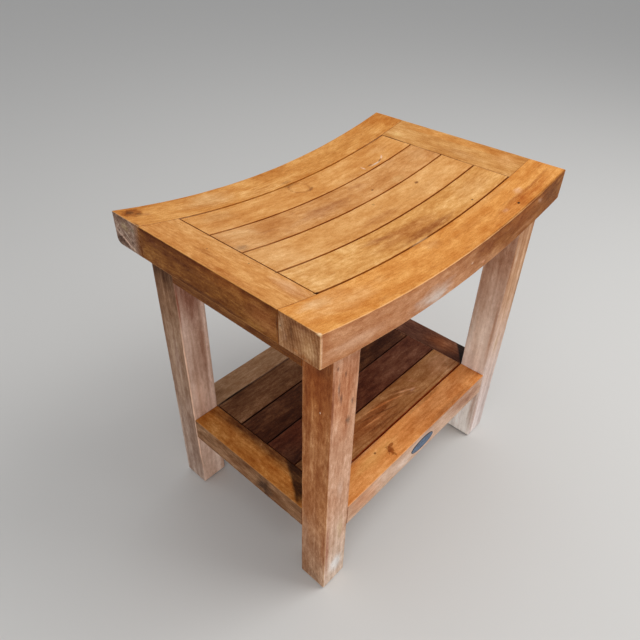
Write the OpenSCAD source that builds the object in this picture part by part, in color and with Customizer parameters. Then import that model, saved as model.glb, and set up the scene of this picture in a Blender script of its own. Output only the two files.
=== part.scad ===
// Shower bench of solid teak: a dished seat of slats in a frame, on four square legs,
// with a slatted shelf low between the legs.
// Lengths are in millimetres. X runs along the bench, Y from front to back and Z up.
// The origin lies on the floor, under the middle of the bench.

/* [Overall size] */
// Length of the seat, from end to end
bench_length = 460; // [420:1:560]
// Depth of the seat, from front to back
bench_depth = 305; // [280:1:360]
// Height of the seat's two ends above the floor
seat_height = 454; // [400:1:500]

/* [Seat] */
// How far the middle of the seat lies below its ends
seat_dip = 25; // [12:1:36]
// Thickness of the seat's frame
seat_frame_t = 38; // [36:1:44]
// Width of the long curved rails at the front and the back
long_rail_w = 50; // [46:1:60]
// Width of the rails across the two ends
cross_rail_w = 50; // [40:1:60]
// Thickness of a seat slat
seat_slat_t = 20; // [16:1:22]
// Size of the small bevel on the outer edges of the long rails
frame_bevel = 1.5; // [0.5:0.5:3]

/* [Slats] */
// Open gap beside each slat, in the seat and in the shelf
slat_gap = 2; // [1:0.5:4]
// Gap between a slat's shoulder and the rail that it runs into
slat_end_gap = 0.5; // [0.2:0.1:1]
// Length of the tongue on each end of a slat
tongue_len = 10; // [6:1:12]
// Thickness of that tongue
tongue_t = 8; // [5:1:9]
// How far the tongue's sides stand in from the slat's sides
tongue_inset = 3; // [1:0.5:6]
// Size of the small bevel on a slat's long edges
slat_bevel = 1; // [0.5:0.5:2]

/* [Legs] */
// Side of the square legs
leg_w = 40; // [36:1:46]
// How far the legs stand in from the ends of the seat
leg_inset_x = 30; // [24:1:36]
// How far the legs stand in from the front and the back of the seat
leg_inset_y = 10; // [6:1:14]
// Radius of the eased edges of the legs and of the shelf's rails
leg_ease = 2.5; // [1:0.5:4]
// Length of the tenon on top of each leg
leg_tenon_len = 24; // [16:1:28]
// Width of that tenon along the bench
leg_tenon_w = 24; // [16:1:26]
// Thickness of that tenon across the bench
leg_tenon_t = 20; // [14:1:24]

/* [Upper stretchers] */
// Height of the stretcher under each end of the seat, at its outer face
apron_h = 41; // [36:1:60]
// Thickness of those stretchers
apron_t = 22; // [18:1:26]
// Length of their tenons
apron_tenon_len = 18; // [10:1:24]
// Thickness of their tenons
apron_tenon_t = 10; // [6:1:12]
// Shoulder above and below each of their tenons
apron_shoulder = 7; // [4:1:10]

/* [Shelf] */
// Height of the shelf's top above the floor
shelf_top = 139; // [100:1:180]
// Height of the rails around the shelf
shelf_rail_h = 36; // [34:1:44]
// Thickness of a shelf slat
shelf_slat_t = 15; // [13:1:18]
// Thickness of the shelf rails' tenons
shelf_tenon_t = 12; // [8:1:14]
// Shoulder above and below each shelf tenon
shelf_shoulder = 6; // [4:1:9]
// Wood left between the two tenons that meet in a leg
tenon_wall = 1; // [0.5:0.5:3]

/* [Cross rail tenons] */
// Length of the tenons on the seat's cross rails
cross_tenon_len = 22; // [14:1:30]
// Thickness of those tenons
cross_tenon_t = 14; // [10:1:18]
// Wood left between those tenons and the end of the bench
cross_tenon_end = 10; // [6:1:12]
// Wood left between those tenons and the legs' tenons
cross_tenon_wall = 3; // [2:1:5]

/* [Battens] */
// Width of the batten under the middle of the slats
batten_w = 40; // [30:1:60]
// Thickness of the battens
batten_t = 15; // [13:1:16]
// Length of the stub tenon on each end of a batten
stub_len = 8; // [5:1:12]
// Thickness of that stub
stub_t = 8; // [6:1:10]
// How far the stub's sides stand in from the batten's sides
stub_inset = 6; // [3:1:10]

/* [Fasteners] */
// Diameter of the pegs that lock the seat's tenons
peg_d = 6; // [4:0.5:7]
// How far a peg's end lies below the wood around it
peg_recess = 1; // [0.5:0.5:2]
// Wood left beyond the blind end of a peg
peg_stop = 10; // [8:1:14]
// Diameter of a batten screw
screw_d = 4; // [3:0.5:5]
// Diameter of its head
screw_head_d = 8; // [7:0.5:10]
// Height of its head
screw_head_h = 2.5; // [2:0.5:3]
// How far the screw reaches into a slat
screw_bite = 9; // [7:1:10]
// How far the head lies below the face of the batten
screw_sink = 1; // [0.5:0.5:2]

/* [Feet] */
// Diameter of a foot pad
pad_d = 30; // [20:1:34]
// Thickness of a foot pad under the leg
pad_t = 2; // [1.5:0.5:6]
// Diameter of the stem that holds it in the leg
stem_d = 8; // [6:1:12]
// Length of that stem
stem_len = 12; // [8:1:20]

/* [Oval plate] */
// Length of the blank oval plate on the shelf's front rail
plate_l = 51; // [30:1:70]
// Height of the plate
plate_h = 19; // [10:1:26]
// Thickness of the plate
plate_t = 1.2; // [0.8:0.1:2]
// Depth that it is let into the rail
plate_let_in = 0.4; // [0.2:0.1:0.6]
// Distance between the two studs on its back
stud_gap = 30; // [16:1:40]
// Diameter of the studs
stud_d = 2.4; // [2:0.1:4]
// Length of the studs
stud_len = 6; // [3:1:10]

/* [Fit] */
// Clearance around a tenon, a tongue, a stub and a stem
joint_gap = 0.2; // [0.1:0.05:0.3]
// Clearance between two curved faces that lie against each other
curve_gap = 0.1; // [0.05:0.05:0.3]

/* [Hidden] */

// The seat and the shelf have this many slats each, one node per slat.
slat_count = 4;
// Sides of a full circle, for the wide curve of the seat and for small round work.
arc_steps = 720;
round_steps = 32;
// Overlap that lets two shapes of one piece merge, and a cut pass its surface.
lap = 1;

// Half the seat's size, and the faces that its rails turn inwards.
half_length = bench_length / 2;
half_depth = bench_depth / 2;
rail_in = half_depth - long_rail_w;
cross_in = half_length - cross_rail_w;

// The seat's top is an arc through both ends and the lowered middle.
arc_r = (half_length * half_length + seat_dip * seat_dip) / (2 * seat_dip);
arc_z = seat_height - seat_dip + arc_r;
under_r = arc_r + seat_frame_t;
arc_sweep = 2 * asin(half_length / arc_r) + 4;

// Faces of the legs, taken for the leg at the back on the right.
leg_x_out = half_length - leg_inset_x;
leg_x_in = leg_x_out - leg_w;
leg_x = (leg_x_out + leg_x_in) / 2;
leg_y_out = half_depth - leg_inset_y;
leg_y_in = leg_y_out - leg_w;
leg_y = (leg_y_out + leg_y_in) / 2;

// A leg's tenon stands in the middle of the strip where leg and rail overlap.
leg_tenon_y = (max(leg_y_in, rail_in) + min(leg_y_out, half_depth)) / 2;

// The cross rail's tenon fills what is left between the leg's tenon and the end.
cross_tenon_x0 = max(leg_x + leg_tenon_w / 2 + cross_tenon_wall, cross_in + cross_tenon_wall);
cross_tenon_x1 = half_length - cross_tenon_end;

// The upper stretcher hangs from the curve of the seat at its outer face.
apron_x = leg_x_out - apron_t / 2;
apron_z = height_at(under_r, leg_x_out) - apron_h;
apron_tenon_h = apron_h - 2 * apron_shoulder - (height_at(under_r, leg_x_out) - height_at(under_r, leg_x_in));

// The shelf's rails are as wide as the legs. Its tenons stop short of each other in the leg.
shelf_mid_z = shelf_top - shelf_rail_h / 2;
shelf_tenon_len = (leg_w - shelf_tenon_t) / 2 - tenon_wall;
shelf_tenon_h = shelf_rail_h - 2 * shelf_shoulder;

// Slats share the width between the rails, with a gap on each side of each slat.
seat_slat_w = (2 * rail_in - (slat_count + 1) * slat_gap) / slat_count;
shelf_slat_w = (2 * leg_y_in - (slat_count + 1) * slat_gap) / slat_count;

// Undersides of the slats at the middle of the bench, where the battens and screws are.
seat_slat_z = seat_height - seat_dip - seat_slat_t;
shelf_slat_z = shelf_top - shelf_slat_t;
seat_batten_z = seat_slat_z - curve_gap - batten_t;
shelf_batten_z = shelf_slat_z - batten_t;
screw_pocket = screw_head_h + screw_sink;

// Pegs: one across each leg's tenon, one up through each cross rail's tenon.
leg_peg_x = min(leg_x - leg_tenon_w / 4, cross_in - peg_d / 2 - joint_gap);
leg_peg_z = height_at(under_r, leg_peg_x) + (seat_frame_t - seat_slat_t) / 2;
leg_peg_y0 = rail_in + peg_recess;
leg_peg_y1 = leg_tenon_y + leg_tenon_t / 2 + peg_d / 2;
cross_peg_x = (max(cross_tenon_x0, leg_x_out) + cross_tenon_x1) / 2;
cross_peg_y = rail_in + cross_tenon_len / 2;
cross_peg_z0 = height_at(under_r, cross_peg_x) + peg_recess;
cross_peg_z1 = height_at(arc_r, cross_peg_x) - peg_stop;

plate_z = shelf_mid_z;

teak_gold = [0.78, 0.55, 0.30];
teak_pale = [0.72, 0.56, 0.44];
teak_dark = [0.45, 0.29, 0.19];
steel_grey = [0.70, 0.71, 0.72];
rubber_black = [0.08, 0.08, 0.08];
plate_blue = [0.32, 0.36, 0.42];

// ---- Helpers ----

// Height at x of an arc of the given radius about the seat's axis.
function height_at(radius, x) = arc_z - sqrt(radius * radius - x * x);

// Lower side of one of the slats that share the width between -limit and limit.
function slat_side(index, limit, width) = -limit + slat_gap + index * (width + slat_gap);

// Rectangle about its centre, with rounded corners.
module eased_rect(a, b, ease) {
    square([a - 2 * ease, b], center = true);
    square([a, b - 2 * ease], center = true);
    for (sa = [-1, 1], sb = [-1, 1])
        translate([sa * (a / 2 - ease), sb * (b / 2 - ease)])
            circle(r = ease, $fn = round_steps);
}

// Rectangle about its centre. low bevels the two corners of its lower side, high the other two.
module bevelled_rect(a, b, low, high) {
    polygon([[-a / 2 + low, -b / 2], [a / 2 - low, -b / 2], [a / 2, -b / 2 + low],
             [a / 2, b / 2 - high], [a / 2 - high, b / 2], [-a / 2 + high, b / 2],
             [-a / 2, b / 2 - high], [-a / 2, -b / 2 + low]]);
}

// Ring section about the seat's axis, swept along the curve of the seat.
module swept_ring() {
    translate([0, 0, arc_z])
        rotate([-90, 0, 0])
            rotate([0, 0, 90 - arc_sweep / 2])
                rotate_extrude(angle = arc_sweep, $fn = arc_steps)
                    children();
}

// Keeps what lies between two upright planes across the bench.
module between(x_low, x_high, y_low, y_high) {
    intersection() {
        translate([x_low, y_low - lap, 0])
            cube([x_high - x_low, y_high - y_low + 2 * lap, arc_z]);
        children();
    }
}

// Board that follows the seat's curve. drop is the depth of its top below the seat's top.
module curved_bar(x_low, x_high, y_low, y_high, drop, thick) {
    between(x_low, x_high, y_low, y_high)
        swept_ring()
            translate([arc_r + drop + thick / 2, (y_low + y_high) / 2])
                square([thick, y_high - y_low], center = true);
}

// Space above the underside of the seat's frame.
module above_underside() {
    translate([0, 0, arc_z])
        rotate([90, 0, 0])
            cylinder(r = under_r + curve_gap, h = bench_depth + 2 * lap, center = true, $fn = arc_steps);
}

// Block between two corners.
module block(low, high) {
    translate(low)
        cube(high - low);
}

// Bar along X, with its child as the section.
module bar_along_x(length, y_mid, z_mid) {
    rotate([90, 0, 90])
        linear_extrude(height = length, center = true)
            translate([y_mid, z_mid])
                children();
}

// Bar along Y, with its child as the section.
module bar_along_y(length, x_mid, z_mid) {
    rotate([90, 0, 0])
        linear_extrude(height = length, center = true)
            translate([x_mid, z_mid])
                children();
}

// Pieces are drawn at the back on the right. These put them at the other corners.
module to_left() {
    mirror([1, 0, 0])
        children();
}

module to_front() {
    mirror([0, 1, 0])
        children();
}

module both_ends() {
    children();
    to_left()
        children();
}

module both_sides() {
    children();
    to_front()
        children();
}

module all_corners() {
    both_ends()
        both_sides()
            children();
}

// ---- Joints: each tenon is drawn once, and its mortise is the same shape, grown ----

module leg_tenon(grow = 0) {
    block([leg_x - leg_tenon_w / 2 - grow, leg_tenon_y - leg_tenon_t / 2 - grow,
           height_at(under_r, leg_x_in) - seat_frame_t / 2],
          [leg_x + leg_tenon_w / 2 + grow, leg_tenon_y + leg_tenon_t / 2 + grow,
           height_at(under_r, leg_x) + leg_tenon_len + grow]);
}

module cross_tenon(grow = 0) {
    curved_bar(cross_tenon_x0 - grow, cross_tenon_x1 + grow,
               rail_in - lap, rail_in + cross_tenon_len + grow,
               (seat_frame_t - cross_tenon_t) / 2 - grow, cross_tenon_t + 2 * grow);
}

module apron_tenon(grow = 0) {
    block([apron_x - apron_tenon_t / 2 - grow, leg_y_in - lap, apron_z + apron_shoulder - grow],
          [apron_x + apron_tenon_t / 2 + grow, leg_y_in + apron_tenon_len + grow,
           apron_z + apron_shoulder + apron_tenon_h + grow]);
}

module shelf_rail_tenon(grow = 0) {
    block([leg_x_in - lap, leg_y - shelf_tenon_t / 2 - grow, shelf_mid_z - shelf_tenon_h / 2 - grow],
          [leg_x_in + shelf_tenon_len + grow, leg_y + shelf_tenon_t / 2 + grow,
           shelf_mid_z + shelf_tenon_h / 2 + grow]);
}

module shelf_end_tenon(grow = 0) {
    block([leg_x - shelf_tenon_t / 2 - grow, leg_y_in - lap, shelf_mid_z - shelf_tenon_h / 2 - grow],
          [leg_x + shelf_tenon_t / 2 + grow, leg_y_in + shelf_tenon_len + grow,
           shelf_mid_z + shelf_tenon_h / 2 + grow]);
}

module seat_tongue(y_low, y_high, grow = 0) {
    curved_bar(cross_in - slat_end_gap - lap, cross_in + tongue_len + grow, y_low, y_high,
               (seat_slat_t - tongue_t) / 2 - grow, tongue_t + 2 * grow);
}

module shelf_tongue(y_low, y_high, grow = 0) {
    block([leg_x_in - slat_end_gap - lap, y_low, shelf_top - (shelf_slat_t + tongue_t) / 2 - grow],
          [leg_x_in + tongue_len + grow, y_high, shelf_top - (shelf_slat_t - tongue_t) / 2 + grow]);
}

module seat_stub(grow = 0) {
    curved_bar(-batten_w / 2 + stub_inset - grow, batten_w / 2 - stub_inset + grow,
               rail_in - lap, rail_in + stub_len + grow,
               seat_slat_t + curve_gap + (batten_t - stub_t) / 2 - grow, stub_t + 2 * grow);
}

module shelf_stub(grow = 0) {
    block([-batten_w / 2 + stub_inset - grow, leg_y_in - lap,
           shelf_batten_z + (batten_t - stub_t) / 2 - grow],
          [batten_w / 2 - stub_inset + grow, leg_y_in + stub_len + grow,
           shelf_batten_z + (batten_t + stub_t) / 2 + grow]);
}

module leg_peg(grow = 0) {
    translate([leg_peg_x, leg_peg_y0, leg_peg_z])
        rotate([-90, 0, 0])
            cylinder(d = peg_d + 2 * grow, h = leg_peg_y1 - leg_peg_y0 + grow, $fn = round_steps);
}

module cross_peg(grow = 0) {
    translate([cross_peg_x, cross_peg_y, cross_peg_z0])
        cylinder(d = peg_d + 2 * grow, h = cross_peg_z1 - cross_peg_z0 + grow, $fn = round_steps);
}

// Bores for the pegs, open at the face that they are driven in from.
module leg_peg_bore() {
    leg_peg(curve_gap);
    translate([leg_peg_x, rail_in - lap, leg_peg_z])
        rotate([-90, 0, 0])
            cylinder(d = peg_d + 2 * curve_gap, h = lap + peg_recess + lap, $fn = round_steps);
}

module cross_peg_bore() {
    cross_peg(curve_gap);
    translate([cross_peg_x, cross_peg_y, cross_peg_z0 - peg_recess - peg_d / 2])
        cylinder(d = peg_d + 2 * curve_gap, h = peg_recess + peg_d / 2 + lap, $fn = round_steps);
}

// ---- Screws ----

// Pan-head screw that points up, with the seat of its head at the height head_z.
module batten_screw(head_z, length) {
    tip_h = screw_d * 0.8;
    slot_l = screw_head_d * 0.55;
    slot_w = screw_head_d * 0.14;
    slot_d = screw_head_h * 0.55;
    translate([0, 0, head_z]) {
        difference() {
            translate([0, 0, -screw_head_h])
                cylinder(d = screw_head_d, h = screw_head_h, $fn = round_steps);
            for (turn = [0, 90])
                rotate([0, 0, turn])
                    translate([-slot_l / 2, -slot_w / 2, -screw_head_h - lap])
                        cube([slot_l, slot_w, slot_d + lap]);
        }
        translate([0, 0, -lap])
            cylinder(d = screw_d, h = length - tip_h + lap, $fn = round_steps);
        translate([0, 0, length - tip_h])
            cylinder(d1 = screw_d, d2 = screw_d * 0.2, h = tip_h, $fn = round_steps);
    }
}

// One screw or hole at the middle of each slat.
module at_each_slat(limit, width) {
    for (index = [0 : slat_count - 1])
        translate([0, slat_side(index, limit, width) + width / 2, 0])
            children();
}

// Hole through a batten, with a pocket for the head. batten_z is the batten's underside.
module batten_hole(batten_z) {
    translate([0, 0, batten_z - lap])
        cylinder(d = screw_head_d + 2 * joint_gap, h = screw_pocket + lap, $fn = round_steps);
    translate([0, 0, batten_z])
        cylinder(d = screw_d + 2 * joint_gap, h = batten_t + lap, $fn = round_steps);
}

// Pilot hole in a slat, from its underside.
module slat_hole(slat_z) {
    translate([0, 0, slat_z - lap])
        cylinder(d = screw_d + 2 * joint_gap, h = lap + screw_bite + joint_gap, $fn = round_steps);
}

// ---- Seat ----

// Long curved rail: its two outer edges are bevelled, its inner edges are square.
module seat_rail() {
    color(teak_gold)
        difference() {
            between(-half_length, half_length, rail_in, half_depth)
                swept_ring()
                    translate([arc_r + seat_frame_t / 2, (rail_in + half_depth) / 2])
                        bevelled_rect(seat_frame_t, long_rail_w, 0, frame_bevel);
            both_ends() {
                leg_tenon(joint_gap);
                cross_tenon(joint_gap);
                leg_peg_bore();
                cross_peg_bore();
            }
            seat_stub(joint_gap);
        }
}

module seat_cross_rail() {
    color(teak_gold)
        difference() {
            union() {
                curved_bar(cross_in, half_length, -rail_in, rail_in, 0, seat_frame_t);
                both_sides()
                    cross_tenon();
            }
            seat_tongue(-rail_in + slat_gap, rail_in - slat_gap, joint_gap);
            both_sides()
                cross_peg_bore();
        }
}

module seat_slat(index) {
    y_low = slat_side(index, rail_in, seat_slat_w);
    y_high = y_low + seat_slat_w;
    shoulder_x = cross_in - slat_end_gap;
    color(teak_gold)
        difference() {
            union() {
                between(-shoulder_x, shoulder_x, y_low, y_high)
                    swept_ring()
                        translate([arc_r + seat_slat_t / 2, (y_low + y_high) / 2])
                            bevelled_rect(seat_slat_t, seat_slat_w, slat_bevel, slat_bevel);
                both_ends()
                    seat_tongue(y_low + tongue_inset, y_high - tongue_inset);
            }
            translate([0, (y_low + y_high) / 2, 0])
                slat_hole(seat_slat_z);
        }
}

module seat_batten() {
    color(teak_dark)
        difference() {
            union() {
                curved_bar(-batten_w / 2, batten_w / 2, -rail_in, rail_in,
                           seat_slat_t + curve_gap, batten_t);
                both_sides()
                    seat_stub();
            }
            at_each_slat(rail_in, seat_slat_w)
                batten_hole(seat_batten_z);
        }
}

module seat_batten_screws() {
    color(steel_grey)
        at_each_slat(rail_in, seat_slat_w)
            batten_screw(seat_batten_z + screw_pocket, batten_t - screw_pocket + screw_bite);
}

module leg_tenon_pegs() {
    color(teak_pale)
        all_corners()
            leg_peg();
}

module cross_rail_pegs() {
    color(teak_pale)
        all_corners()
            cross_peg();
}

// ---- Legs and upper stretchers ----

module leg() {
    color(teak_pale)
        difference() {
            union() {
                difference() {
                    translate([leg_x, leg_y, pad_t])
                        linear_extrude(height = seat_height - pad_t)
                            eased_rect(leg_w, leg_w, leg_ease);
                    above_underside();
                }
                leg_tenon();
            }
            shelf_rail_tenon(joint_gap);
            shelf_end_tenon(joint_gap);
            apron_tenon(joint_gap);
            leg_peg_bore();
            translate([leg_x, leg_y, pad_t - lap])
                cylinder(d = stem_d + 2 * joint_gap, h = stem_len + joint_gap + lap, $fn = round_steps);
        }
}

module apron() {
    apron_top = height_at(under_r, half_length);
    color(teak_dark) {
        difference() {
            bar_along_y(2 * leg_y_in, apron_x, (apron_z + apron_top) / 2)
                eased_rect(apron_t, apron_top - apron_z, leg_ease);
            above_underside();
        }
        both_sides()
            apron_tenon();
    }
}

// ---- Shelf ----

module shelf_rail() {
    color(teak_gold)
        difference() {
            union() {
                bar_along_x(2 * leg_x_in, leg_y, shelf_mid_z)
                    eased_rect(leg_w, shelf_rail_h, leg_ease);
                both_ends()
                    shelf_rail_tenon();
            }
            shelf_stub(joint_gap);
        }
}

module shelf_end_rail() {
    color(teak_gold)
        difference() {
            union() {
                bar_along_y(2 * leg_y_in, leg_x, shelf_mid_z)
                    eased_rect(leg_w, shelf_rail_h, leg_ease);
                both_sides()
                    shelf_end_tenon();
            }
            shelf_tongue(-leg_y_in + slat_gap, leg_y_in - slat_gap, joint_gap);
        }
}

module shelf_slat(index) {
    y_low = slat_side(index, leg_y_in, shelf_slat_w);
    y_high = y_low + shelf_slat_w;
    color(teak_dark)
        difference() {
            union() {
                bar_along_x(2 * (leg_x_in - slat_end_gap), (y_low + y_high) / 2,
                            shelf_top - shelf_slat_t / 2)
                    bevelled_rect(shelf_slat_w, shelf_slat_t, slat_bevel, slat_bevel);
                both_ends()
                    shelf_tongue(y_low + tongue_inset, y_high - tongue_inset);
            }
            translate([0, (y_low + y_high) / 2, 0])
                slat_hole(shelf_slat_z);
        }
}

module shelf_batten() {
    color(teak_dark)
        difference() {
            union() {
                block([-batten_w / 2, -leg_y_in, shelf_batten_z], [batten_w / 2, leg_y_in, shelf_slat_z]);
                both_sides()
                    shelf_stub();
            }
            at_each_slat(leg_y_in, shelf_slat_w)
                batten_hole(shelf_batten_z);
        }
}

module shelf_batten_screws() {
    color(steel_grey)
        at_each_slat(leg_y_in, shelf_slat_w)
            batten_screw(shelf_batten_z + screw_pocket, batten_t - screw_pocket + screw_bite);
}

// ---- Feet and oval plate ----

module foot_pad() {
    color(rubber_black)
        translate([leg_x, leg_y, 0]) {
            cylinder(d = pad_d, h = pad_t, $fn = 2 * round_steps);
            cylinder(d = stem_d, h = pad_t + stem_len, $fn = round_steps);
        }
}

// Oval outline, each side a point every few degrees of an ellipse.
module oval(length, height) {
    polygon([for (angle = [0 : 6 : 354]) [length / 2 * cos(angle), height / 2 * sin(angle)]]);
}

// Plate with two studs on its back, on the front face of the shelf's front rail.
module plate_solid(grow = 0) {
    back_y = -leg_y_out + plate_let_in;
    translate([0, back_y, plate_z])
        rotate([90, 0, 0])
            linear_extrude(height = plate_t)
                oval(plate_l + 2 * grow, plate_h + 2 * grow);
    for (side = [-1, 1])
        translate([side * stud_gap / 2, back_y + stud_len + grow, plate_z])
            rotate([90, 0, 0])
                cylinder(d = stud_d + 2 * grow, h = stud_len + grow + plate_t / 2, $fn = round_steps);
}

module oval_plate() {
    color(plate_blue)
        plate_solid();
}

module shelf_front_rail() {
    difference() {
        to_front()
            shelf_rail();
        plate_solid(joint_gap / 2);
    }
}

to_front() seat_rail();  // seat_rail_front
seat_rail();  // seat_rail_back
to_left() seat_cross_rail();  // seat_cross_rail_left
seat_cross_rail();  // seat_cross_rail_right
seat_slat(0);  // seat_slat_1
seat_slat(1);  // seat_slat_2
seat_slat(2);  // seat_slat_3
seat_slat(3);  // seat_slat_4
seat_batten();
seat_batten_screws();
leg_tenon_pegs();
cross_rail_pegs();
to_left() to_front() leg();  // leg_front_left
to_front() leg();  // leg_front_right
to_left() leg();  // leg_back_left
leg();  // leg_back_right
to_left() apron();  // apron_left
apron();  // apron_right
shelf_front_rail();  // shelf_rail_front
shelf_rail();  // shelf_rail_back
to_left() shelf_end_rail();  // shelf_end_rail_left
shelf_end_rail();  // shelf_end_rail_right
shelf_slat(0);  // shelf_slat_1
shelf_slat(1);  // shelf_slat_2
shelf_slat(2);  // shelf_slat_3
shelf_slat(3);  // shelf_slat_4
shelf_batten();
shelf_batten_screws();
to_left() to_front() foot_pad();  // foot_pad_front_left
to_front() foot_pad();  // foot_pad_front_right
to_left() foot_pad();  // foot_pad_back_left
foot_pad();  // foot_pad_back_right
oval_plate();
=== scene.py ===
"""Teak shower bench: the finished look of every piece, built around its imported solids.

Lengths are metres in the bench's own frame. X runs along the bench, Y from front to
back and Z up, and the origin lies on the floor under the middle of the bench.
"""

import logging
import math
from collections.abc import Callable, Iterable
from dataclasses import dataclass, replace
from enum import Enum
from functools import partial
from itertools import combinations

import bpy
import numpy as np
from mathutils import Matrix, Vector


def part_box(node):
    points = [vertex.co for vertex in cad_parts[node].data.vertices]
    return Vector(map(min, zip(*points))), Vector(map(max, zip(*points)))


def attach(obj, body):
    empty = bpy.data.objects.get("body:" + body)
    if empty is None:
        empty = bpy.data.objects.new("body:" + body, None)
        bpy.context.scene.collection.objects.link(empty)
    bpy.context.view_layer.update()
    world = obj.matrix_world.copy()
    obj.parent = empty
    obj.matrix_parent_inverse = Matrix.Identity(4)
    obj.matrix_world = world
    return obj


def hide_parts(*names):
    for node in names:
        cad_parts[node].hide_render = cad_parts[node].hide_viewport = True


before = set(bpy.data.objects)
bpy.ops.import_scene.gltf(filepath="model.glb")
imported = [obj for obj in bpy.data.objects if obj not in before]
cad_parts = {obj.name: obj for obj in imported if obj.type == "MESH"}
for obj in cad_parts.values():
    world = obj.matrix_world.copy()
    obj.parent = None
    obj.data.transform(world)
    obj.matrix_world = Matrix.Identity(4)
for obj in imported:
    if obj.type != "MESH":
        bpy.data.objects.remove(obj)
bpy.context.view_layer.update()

LOG = logging.getLogger("bench")
ROOT = "root"

MM = 0.001
FRAME_THICKNESS = 38 * MM
SLAT_THICKNESS = 20 * MM
OUTER_ARRIS = 1.2 * MM
LEG_ARRIS = 1.6 * MM
SLAT_ARRIS = 0.5 * MM
JOINT_ARRIS = 0.35 * MM
THINNEST_ARRIS = 0.05 * MM
PAD_THICKNESS = 2 * MM
LONG_RAIL_ENDS = (1.7, 0.8)
ORIGIN = (0.0, 0.0, 0.0)
QUARTER = np.linspace(0, math.pi / 2, 5)

Array = np.ndarray
Node = bpy.types.Node
Tree = bpy.types.NodeTree
Socket = bpy.types.NodeSocket
Material = bpy.types.Material
Point = tuple[float, float, float]
Warp = Callable[[Array], Array]


# ---- Colours and directions ----


@dataclass(frozen=True)
class Tone:
    """A surface colour as a screen shows it, each part from 0 to 255."""

    red: float
    green: float
    blue: float

    def linear(self) -> tuple[float, float, float, float]:
        """Gives the values that a shader socket takes.

        Returns:
            Red, green, blue and alpha, with the usual screen curve undone.
        """
        parts = np.array([self.red, self.green, self.blue]) / 255
        low, high = parts / 12.92, ((parts + 0.055) / 1.055) ** 2.4
        return (*np.where(parts <= 0.04045, low, high).tolist(), 1.0)


class Grain(Enum):
    """The axis that a board's grain follows, as the order of its length, width and height."""

    ALONG_X = (0, 1, 2)
    ALONG_Y = (1, 2, 0)
    ALONG_Z = (2, 0, 1)


TURN_TO_GRAIN = {
    Grain.ALONG_X: (0.0, 0.0, 0.0),
    Grain.ALONG_Y: (0.0, 0.0, -math.pi / 2),
    Grain.ALONG_Z: (0.0, math.pi / 2, 0.0),
}


class Side(Enum):
    """One of a board's six sides, as its axis and its sign."""

    LEFT = (0, -1)
    RIGHT = (0, 1)
    FRONT = (1, -1)
    BACK = (1, 1)
    UNDER = (2, -1)
    TOP = (2, 1)


ENDS_X = (Side.LEFT, Side.RIGHT)
ENDS_Y = (Side.FRONT, Side.BACK)


# ---- Shapes ----


@dataclass(frozen=True)
class SeatCurve:
    """The dished top of the seat: an arc about an axis that runs from front to back."""

    radius: float
    axis_z: float

    @classmethod
    def through(cls, half_length: float, end_z: float, dip: float) -> "SeatCurve":
        """Finds the arc from the seat's length and dip.

        Args:
            half_length: Half the seat's length.
            end_z: Height of the seat's ends.
            dip: How far the middle lies below the ends.

        Returns:
            The curve whose radius is (half_length^2 + dip^2) / (2 dip).
        """
        radius = (half_length**2 + dip**2) / (2 * dip)
        return cls(radius, end_z - dip + radius)

    def height(self, x: Array, depth: Array | float) -> Array:
        """Gives the height at x of the arc that lies a depth under the seat's top.

        Args:
            x: Places along the bench.
            depth: Depth under the top, square to the curve.

        Returns:
            The axis' height less the root of (radius + depth)^2 - x^2.
        """
        return self.axis_z - np.sqrt((self.radius + depth) ** 2 - x**2)

    def bend(self, points: Array) -> Array:
        """Bends flat points onto the curve: height z above the flat top becomes depth -z."""
        bent = points.copy()
        bent[..., 2] = self.height(points[..., 0], -points[..., 2])
        return bent

    def fit_under(self, foot: float, top: float, points: Array) -> Array:
        """Stretches an upright piece so that it meets the seat's underside.

        Args:
            foot: Height of the piece's lower end, which stays.
            top: Height of its flat top, which moves onto the underside.
            points: The piece's points.

        Returns:
            The points, each moved by its own share, (z - foot) / (top - foot), of the way.
        """
        fitted = points.copy()
        under = self.height(points[..., 0], FRAME_THICKNESS)
        share = (points[..., 2] - foot) / (top - foot)
        fitted[..., 2] = foot + share * (under - foot)
        return fitted


class Section:
    """A rounded rectangle for any size and radius: core * (half - radius) + way * radius.

    On a flat side the core slides from one corner to the next. On a corner the core
    stands still and the way turns.
    """

    FLATS = np.array([-0.98, -0.93, -0.8, -0.5, -0.17, 0.17, 0.5, 0.8, 0.93, 0.98])

    def __init__(self) -> None:
        """Works out cores, ways and corner weights, counter-clockwise."""
        cores, ways, weights = [], [], []
        for corner in range(4):
            angle = corner * math.pi / 2
            out = np.array([math.cos(angle), math.sin(angle)]).round(9)
            along = np.array([-out[1], out[0]])
            ahead, behind = np.eye(4)[corner], np.eye(4)[corner - 1]
            slide = self.FLATS[:, None]
            cos, sin = np.cos(QUARTER)[:, None], np.sin(QUARTER)[:, None]
            cores += [out + slide * along, out + along + 0 * cos]
            ways += [out + 0 * slide, cos * out + sin * along]
            weights += [(1 + slide) / 2 * ahead + (1 - slide) / 2 * behind, ahead + 0 * cos]
        self.core = np.concatenate(cores)
        self.way = np.concatenate(ways)
        self.weight = np.concatenate(weights)

    def __len__(self) -> int:
        """Number of points in one turn."""
        return len(self.core)


SECTION = Section()


def ripple(points: Array, wavelength: float, seed: int) -> Array:
    """Gives smooth noise: the mean of sine waves that run in random directions.

    Args:
        points: Places, with their coordinates along the last axis.
        wavelength: Length of the waves.
        seed: Seed of the directions and phases.

    Returns:
        A value per place, mostly from -1 to 1.
    """
    waves = 7
    rng = np.random.default_rng(seed)
    ways = rng.normal(size=(waves, points.shape[-1]))
    ways /= np.linalg.norm(ways, axis=1, keepdims=True)
    ways *= rng.uniform(0.6, 1.5, (waves, 1)) * 2 * math.pi / wavelength
    return np.sin(points @ ways.T + rng.uniform(0, 2 * math.pi, waves)).mean(-1) * 1.8


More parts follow.
